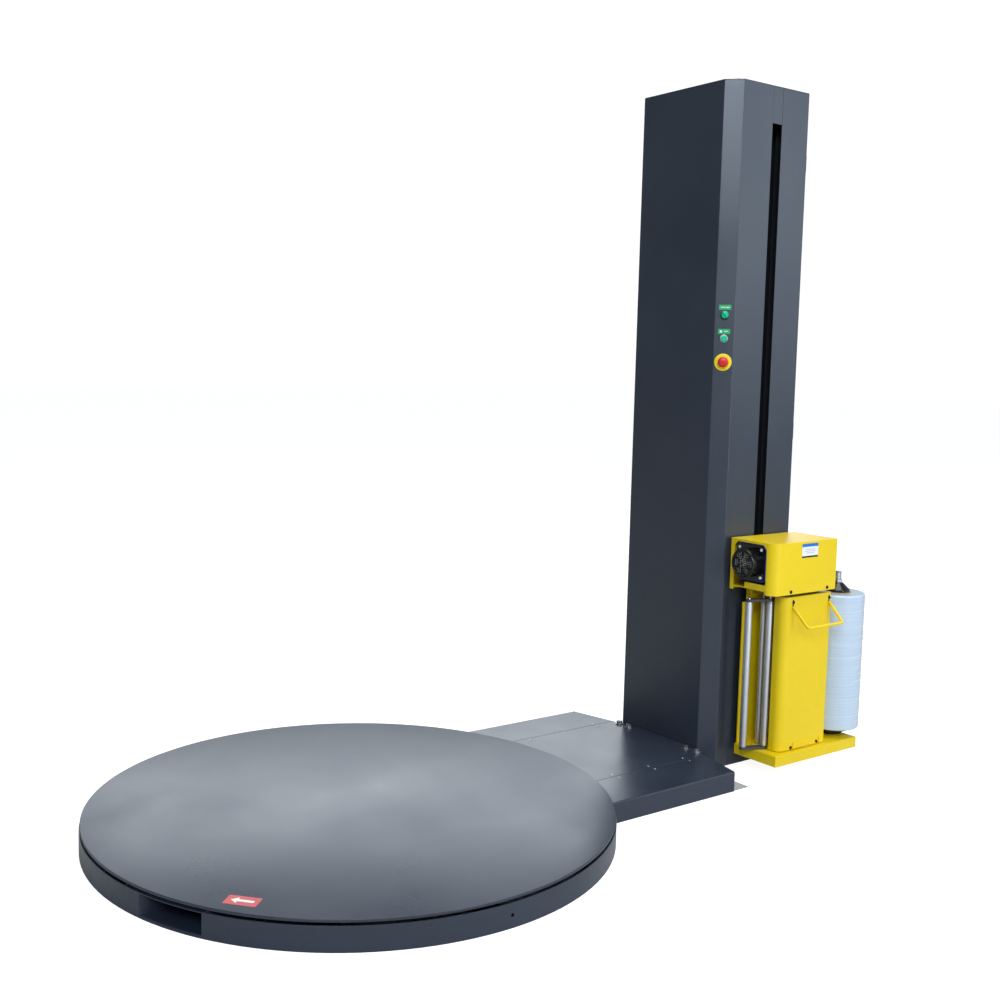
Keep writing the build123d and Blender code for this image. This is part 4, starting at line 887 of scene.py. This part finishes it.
def makeEmergencyStop(look):
    # a yellow disc, and a red mushroom whose waist swells to the rim and closes in a flat dome
    disc, head = look["disc"], look["head"]
    place = controlPlace(controlHeights["estop"])
    hole, wide, thick = disc["hole"], disc["radius"], disc["thickness"]
    corners = [(hole, 0.0), (wide, 0.0), (wide - disc["chamfer"], thick), (hole, thick), (hole, look["lap"])]
    addPiece("estop_plate", [lathe(roundedProfile(corners, 0.0005), place, 96, True)], "estop_yellow", "root",
             ["estop_disc"])
    foot, top, wide = head["foot"], head["foot"] + head["height"], head["radius"]
    corners = [(head["bore"], foot), (wide * 0.80, foot), (wide * 0.86, foot + 0.0030), (wide, foot + 0.0060),
               (wide, top - 0.0045), (wide * 0.78, top - 0.0012), (wide * 0.35, top), (0.0, top)]
    mushroom = lathe(roundedProfile(corners, head["round"]), place, 72)
    addPiece("estop_mushroom", [mushroom], "estop_red", "estop_head", ["estop_head"])


def makeControlLabels(look):
    # two plain green plates, one with a bar, one with a dot and a dash; no lettering
    label, mark, thick = look["label"], look["mark"], look["label"]["thickness"]
    plates, marks = [], []
    for name, lift in look["labelLift"].items():
        place = controlPlace(controlHeights[name] + lift)
        plates.append(slab(roundedRectangle(*label["size"], label["corner"]), 0.0, thick, place))
        if name == "start":
            turn = np.arange(24) * pi / 12
            dot = np.column_stack([np.cos(turn), np.sin(turn)]) * mark["dot"] + np.array(mark["dotAt"])
            marks.append(slab(dot, thick, thick + mark["dotRise"], place))
            dash = roundedRectangle(*mark["dash"], mark["corner"], centre=mark["dashAt"])
            marks.append(slab(dash, thick, thick + mark["rise"], place))
        else:
            bar = roundedRectangle(*mark["bar"], mark["corner"])
            marks.append(slab(bar, thick, thick + mark["rise"], place))
    addPiece("control_labels", plates, "printGreen", "root")
    addPiece("label_marks", marks, "printWhite", "root")


makeBezels(controlLook)
makeSelector(controlLook)
makeStartButton(controlLook)
makeEmergencyStop(controlLook)
makeControlLabels(controlLook)
print("stage: controls done")


# plain label on the motor cover: white, with a blue band above and a dark one below; no writing
coverLabelLook = {"left": 0.140, "below": 0.0075, "width": 0.085, "height": 0.049, "thickness": 0.0002,
                  "band": 0.011, "foot": 0.006, "lineHeight": 0.0016,
                  "lines": ((0.050, 0.004), (0.058, -0.002), (0.042, -0.008))}      # length, rise


def makeCoverLabel(look):
    # flat plates on a white plate; the band hangs from its top edge, the foot stands on the lower one
    low, high = boxOf["motor_cover"]
    width, height, thick = look["width"], look["height"], look["thickness"]
    centre = (low.x + look["left"] + width / 2, low.y, high.z - look["below"] - height / 2)
    place = frameAt(centre, (0, -1, 0), (1, 0, 0))
    addPiece("cover_label", [slab(roundedRectangle(width, height, 0.001), 0.0, thick, place)], "printWhite",
             "carriage")
    band, foot = look["band"], look["foot"]
    outline = roundedRectangle(width, band, 0.0008, centre=(0, (height - band) / 2))
    addPiece("cover_label_band", [slab(outline, thick, 2 * thick, place)], "printBlue", "carriage")
    outline = roundedRectangle(width, foot, 0.0008, centre=(0, -(height - foot) / 2))
    addPiece("cover_label_foot", [slab(outline, thick, 2 * thick, place)], "printBlack", "carriage")
    bars = [roundedRectangle(length, look["lineHeight"], 0.0006, centre=(0, rise))
            for length, rise in look["lines"]]
    lines = [slab(bar, thick, 1.6 * thick, place) for bar in bars]
    addPiece("cover_label_lines", lines, "printInk", "carriage")


makeCoverLabel(coverLabelLook)


# small fittings on the carriage: hooks behind the keyholes, tabs, a foot bracket and a stop block
fittingLook = {
    "hook": {"width": 0.0105, "height": 0.027, "thickness": 0.0020, "behind": 0.0045, "below": 0.0225},
    "tab": {"size": (0.011, 0.026), "thickness": 0.0040, "beside": 0.0165, "rise": 0.0060},
    "ledge": {"height": 0.0040, "thickness": 0.0035, "shorter": 0.030, "shift": 0.012, "rise": 0.004},
    "foot": {"size": (0.042, 0.030), "thickness": 0.0040, "shift": (-0.004, -0.002)},
    "stop": {"size": (0.034, 0.016), "low": 0.0440, "high": 0.0100, "shift": -0.012},
    "stopScrew": {"radius": 0.0045, "height": 0.003},
}


def makeFittings(look):
    # all are flat plates with rounded corners, on faces that look to -Y or up
    low, high = boxOf["front_cover"]
    face = low.y
    facing = []         # middles of the screws that stand on the front cover's face, from below
    for near, far in sorted(nodeIslands("carriage_screws"), key=lambda box: box[0].z):
        size = far - near
        if size.x > size.y and abs(far.y - face) < 0.002:
            facing.append((near + far) / 2)
    lower, upper = facing[:2], facing[2:4]

    def onFront(x, z):
        # a place on that face, local z outwards
        return frameAt((x, face, z), (0, -1, 0), (1, 0, 0))

    # black hook plates seen through the cover's keyholes
    hook = look["hook"]
    back = -hook["behind"]
    outline = roundedRectangle(hook["width"], hook["height"], 0.002)
    plates = [slab(outline, back, back + hook["thickness"], onFront(middle.x, high.z - hook["below"]))
              for middle in upper]
    addPiece("keyhole_hooks", plates, "black_plastic", "carriage")

    # yellow tabs beside the lower screws, joined by a narrow ledge
    tab, ledge, shapes = look["tab"], look["ledge"], []
    for middle in lower:
        place = onFront(middle.x + tab["beside"], middle.z + tab["rise"])
        shapes.append(slab(roundedRectangle(*tab["size"], 0.003), 0.0, tab["thickness"], place))
    left, right = sorted(middle.x for middle in lower)
    place = onFront((left + right) / 2 + ledge["shift"], low.z + ledge["rise"])
    outline = roundedRectangle(right - left - ledge["shorter"], ledge["height"], 0.0012)
    shapes.append(slab(outline, 0.0, ledge["thickness"], place))
    addPiece("cover_tabs", shapes, "carriage_yellow", "carriage", bevel=0.0006)

    # foot bracket round the idle roller's shaft, and a stop block with its screw under the upper plate
    foot, stop, screw = look["foot"], look["stop"], look["stopScrew"]
    shaft = jointOf["idle_roller_spin"]["pos_m"]
    floor, ceiling = boxOf["carriage_tray"][1].z, boxOf["upper_plate"][0].z
    bracket = slab(roundedRectangle(*foot["size"], 0.004), floor, floor + foot["thickness"],
                   upright(shaft[0] + foot["shift"][0], shaft[1] + foot["shift"][1], 0))
    width, depth = stop["size"]
    x, wall = shaft[0] + stop["shift"], boxOf["carriage_back_plate"][0].y
    block = slab(roundedRectangle(width, depth, 0.002), ceiling - stop["low"], ceiling - stop["high"],
                 upright(x, wall - depth / 2, 0))
    addPiece("bracket_and_stop", [bracket, block], "carriage_yellow", "carriage",
             bevel=0.0008)
    place = frameAt((x, wall - depth, ceiling - (stop["low"] + stop["high"]) / 2), (0, -1, 0))
    head = screwHead(place, screw["radius"], screw["height"], "pan")
    addPiece("stop_screw", [head], "zinc_steel", "carriage")


makeFittings(fittingLook)


# dancer arm: a cap screw over its own roller's shaft
dancerLook = {"radius": 0.0062, "height": 0.0050}


def makeDancerScrew(look):
    # one domed head on top of the arm, on the roller's axis
    axis, top = standing("dancer_roller")[0], boxOf["dancer_arm"][1].z
    head = screwHead(axis @ upright(0, 0, top), look["radius"], look["height"], "pan")
    addPiece("dancer_screw", [head], "zinc_steel", "dancer_arm")


makeDancerScrew(dancerLook)


# fan: bent blades on a hub, seen through the grille
fanLook = {"blades": 6, "hub": 0.0138, "shaft": 0.0059, "depth": 0.021, "behindGrille": 0.0026,
           "thickness": 0.0014, "lean": 34, "spread": 6, "pitch": 0.0015, "rows": 7, "columns": 9}


def makeFan(look):
    # blade: radius r from hub to rim, share u across the blade from 0 to 1;
    # its angle is lean (u - 1/2) (1 + spread (r - hub)), its height pitch u
    low, high = boxOf["motor_fan"]
    joint = jointOf["fan_spin"]["pos_m"]
    radius, hub, rows, columns = (high.y - low.y) / 2, look["hub"], look["rows"], look["columns"]
    front = boxOf["fan_cowl"][0].x + look["behindGrille"] - low.x
    place = frameAt((low.x, joint[1], joint[2]), (1, 0, 0))
    boss = roundedProfile([(0.0, front), (hub, front), (hub, look["depth"]), (0.0, look["depth"])], 0.0012)
    parts = [lathe(boss, place, 48)]

    # faces of one blade: the front and back sheets, and a strip round their rim
    count = rows * columns
    i, j = np.meshgrid(np.arange(rows - 1), np.arange(columns - 1), indexing="ij")
    first = (i * columns + j).ravel()
    under = np.column_stack([first, first + 1, first + columns + 1, first + columns])
    rim = np.concatenate([np.arange(columns), np.arange(1, rows) * columns + columns - 1,
                          (rows - 1) * columns + np.arange(columns - 2, -1, -1),
                          np.arange(rows - 2, 0, -1) * columns])
    following = np.roll(rim, -1)
    edge = np.column_stack([rim, following, following + count, rim + count])
    faces = under[:, ::-1].tolist() + (under + count).tolist() + edge.tolist()

    r = np.linspace(hub - 0.0006, radius, rows)[:, None]
    u = np.linspace(0, 1, columns)[None, :]
    height = front + look["pitch"] * (u + 0.0 * r)
    for k in range(look["blades"]):
        bend = radians(look["lean"]) * (u - 0.5) * (1 + look["spread"] * (r - hub))
        turn = k * 2 * pi / look["blades"] + bend
        sheets = [np.stack([r * np.cos(turn), r * np.sin(turn), height + rise], -1).reshape(-1, 3)
                  for rise in (0.0, look["thickness"])]
        parts.append((placed(np.concatenate(sheets), place), faces))
    reach = high.x - low.x
    parts.append(lathe([(0.0, 0.0), (look["shaft"], 0.0), (look["shaft"], reach), (0.0, reach)], place, 32))
    addPiece("fan_blades", parts, "wheel_nylon", "motor_fan", ["motor_fan"])


makeFan(fanLook)


# screw that holds the grille, in its middle
grilleScrewLook = {"radius": 0.0052, "height": 0.0030}


def makeGrilleScrew(look):
    # one domed head on the fan's axis
    joint = jointOf["fan_spin"]["pos_m"]
    place = frameAt((boxOf["fan_cowl"][0].x, joint[1], joint[2]), (-1, 0, 0))
    head = screwHead(place, look["radius"], look["height"], "pan")
    addPiece("grille_screw", [head], "black_plastic", "carriage")


makeGrilleScrew(grilleScrewLook)
print("stage: carriage fittings done")


# rear door: two banks of louvres, two quarter-turn locks and three hinges
doorLook = {
    "louvre": {"count": 9, "pitch": 0.022, "width": 0.150, "height": 0.010, "out": 0.0035, "inset": 0.30,
               "columns": 15, "rows": 9},
    "lock": {"at": (0.25, 0.75), "radius": 0.0125, "height": 0.004, "dish": 0.0028, "dishShare": 0.55,
             "fromEdge": 0.030, "key": (0.0105, 0.0026)},
    "hinge": {"at": (0.10, 0.50, 0.90), "radius": 0.0055, "length": 0.060, "out": 0.003, "inset": 0.004},
}


def makeLouvres(look, low, high):
    # each louvre is a half round lip, out sin t and height cos t, that fades by (1 - u^6)^1/2 to its ends
    face, y = high.x, (low.y + high.y) / 2
    t = np.linspace(0, pi, look["rows"])[None, :]
    u = np.linspace(-1, 1, look["columns"])[:, None]
    out = look["out"] * np.sin(t) * np.sqrt(np.clip(1 - np.abs(u) ** 6, 0, 1))
    faces = ringFaces(look["columns"], look["rows"], False).tolist()
    fins = []
    for bank in (look["inset"], high.z - look["inset"] - look["count"] * look["pitch"]):
        for k in range(look["count"]):
            rise = bank + k * look["pitch"] + look["height"] / 2 * np.cos(t)
            grid = np.stack([face + out, y + u * look["width"] / 2 + 0.0 * t, rise + 0.0 * u], -1)
            fins.append((grid.reshape(-1, 3), faces))
    addPiece("door_louvres", fins, "mast_paint", "root", smooth=60)


def makeRearDoor(look):
    # locks are dished discs with a key slot's bar across; hinges are upright rods at the other edge
    low, high = boxOf["mast_rear_door"]
    makeLouvres(look["louvre"], low, high)
    lock, hinge = look["lock"], look["hinge"]
    locks, hinges = [], []
    size, dish = lock["radius"], lock["radius"] * lock["dishShare"]
    disc = roundedProfile([(0.0, 0.0), (size, 0.0), (size, lock["height"]), (dish, lock["height"]),
                           (dish, lock["dish"]), (0.0, lock["dish"])], 0.0006)
    for share in lock["at"]:
        middle = (high.x, high.y - lock["fromEdge"], low.z + share * (high.z - low.z))
        place = frameAt(middle, (1, 0, 0), (0, 1, 0))
        locks.append(lathe(disc, place, 40))
        locks.append(slab(roundedRectangle(*lock["key"], 0.0012), 0.0024, 0.0038, place))
    rod = roundedProfile([(0.0, 0.0), (hinge["radius"], 0.0), (hinge["radius"], hinge["length"]),
                          (0.0, hinge["length"])], 0.001)
    for share in hinge["at"]:
        z = low.z + share * (high.z - low.z) - hinge["length"] / 2
        hinges.append(lathe(rod, upright(high.x + hinge["out"], low.y + hinge["inset"], z), 24))
    addPiece("door_locks", locks, "zinc_steel", "root")
    addPiece("door_hinges", hinges, "black_plastic", "root")


makeRearDoor(doorLook)
print("stage: rear door done")


# pale floor, soft studio light; each light has a place, a target, a size, a power and a tone
lightLook = {
    "floorHalf": 60.0,
    "floorTone": colour(176, 177, 178),
    "floorGlow": {"seen": 0.88, "lit": 0.10},      # what the viewer sees, and what reaches the object
    "glowEdge": {"table": 0.003, "deck": 0.004},    # how far the glow reaches in under them
    "worldTone": (0.80, 0.90, 1.0),
    "worldDark": 0.10,      # towards -X
    "worldBright": 0.42,    # towards +X
    "worldSeen": 1.05,
    "lights": {
        "keyFront": ((-3.9, -5.9, 5.0), (1.3, -0.2, 2.2), (3.4, 2.2), 360, (0.76, 0.88, 1.0)),
        "keyRight": ((6.5, -5.5, 3.2), (1.5, -0.2, 1.2), (3.5, 3.5), 80, (0.74, 0.88, 1.0)),
        "strip": ((1.75, -6.4, 2.1), (1.6, -0.3, 1.0), (1.1, 3.8), 128, (0.96, 0.98, 1.0)),
        "top": ((1.2, -0.9, 6.5), (1.2, -0.3, 0.0), (4.0, 4.0), 230, (1.0, 0.98, 0.95)),
        "rear": ((4.3, 6.4, 3.2), (0.3, 0.0, 0.1), (8.0, 2.4), 180, (0.88, 0.94, 1.0)),
    },
}


def areaLight(name, place, target, size, power, tone):
    # a rectangle that faces its target
    data = bpy.data.lights.new(name, "AREA")
    data.shape, data.size, data.size_y = "RECTANGLE", size[0], size[1]
    data.energy, data.color = power, tone
    lamp = bpy.data.objects.new(name, data)
    scene.collection.objects.link(lamp)
    direction = Vector(target) - Vector(place)
    lamp.location = place
    lamp.rotation_mode = "QUATERNION"
    lamp.rotation_quaternion = direction.to_track_quat("-Z", "Y")


def openGround(tree, place, edge):
    # 1 on open floor, 0 on the ground that the turntable and the deck cover
    reach = addNode(tree, "VectorMath", {0: place}, operation="LENGTH").outputs["Value"]
    sides = addNode(tree, "SeparateXYZ", {0: place}).outputs
    before = maths(tree, "LESS_THAN", sides["X"], 0.0)
    behind = maths(tree, "GREATER_THAN", sides["X"], boxOf["mast_front_shell"][0].x + edge["deck"])
    width = boxOf["deck_shells"][1].y - edge["deck"]
    beside = maths(tree, "GREATER_THAN", maths(tree, "ABSOLUTE", sides["Y"]), width)
    offDeck = maths(tree, "MAXIMUM", maths(tree, "MAXIMUM", before, behind), beside)
    offTable = ranged(tree, reach, plateHigh.x - edge["table"], plateHigh.x, 0.0, 1.0)
    return maths(tree, "MULTIPLY", offTable, offDeck)


def makeFloor(look):
    # a flat square that glows a little, so that it reads as white
    half, glow = look["floorHalf"], look["floorGlow"]
    mesh = bpy.data.meshes.new("floor")
    corners = [(-half, -half, 0), (half, -half, 0), (half, half, 0), (-half, half, 0)]
    mesh.from_pydata(corners, [], [(0, 1, 2, 3)])
    floor = bpy.data.objects.new("floor", mesh)
    scene.collection.objects.link(floor)
    material, tree, shader, place = startMaterial("floor", {
        "Roughness": 0.9, "Specular IOR Level": 0.1, "Emission Color": (1.0, 1.0, 1.0, 1.0)})
    faint = noise(tree, place, 1.5, 3.0, 0.5)
    tone = blendColour(tree, faint, look["floorTone"], shaded(look["floorTone"], 0.985))
    tree.links.new(tone, shader.inputs["Base Color"])
    seen = addNode(tree, "LightPath").outputs["Is Camera Ray"]
    outside = openGround(tree, place, look["glowEdge"])
    strength = maths(tree, "MULTIPLY", ranged(tree, seen, 0.0, 1.0, glow["lit"], glow["seen"]), outside)
    tree.links.new(strength, shader.inputs["Emission Strength"])
    mesh.materials.append(material)


def makeStudio(look):
    # a white backdrop that lights the object less from -X than from +X
    makeFloor(look)
    world = bpy.data.worlds.new("studio")
    scene.world = world
    world.use_nodes = True
    tree = world.node_tree
    background = tree.nodes["Background"]
    direction = addNode(tree, "TexCoord").outputs["Generated"]
    across = addNode(tree, "SeparateXYZ", {0: direction}).outputs["X"]
    strength = ranged(tree, across, -0.8, 0.5, look["worldDark"], look["worldBright"])
    seen = addNode(tree, "LightPath").outputs["Is Camera Ray"]
    shown = addNode(tree, "Mix", {0: seen, 2: strength, 3: look["worldSeen"]}, data_type="FLOAT").outputs[0]
    tree.links.new(shown, background.inputs["Strength"])
    tree.links.new(blendColour(tree, seen, (*look["worldTone"], 1), (1, 1, 1, 1)), background.inputs["Color"])
    for name, settings in look["lights"].items():
        areaLight(name, *settings)
    scene.view_settings.view_transform = "Standard"


makeStudio(lightLook)
print("stage: light and floor done")
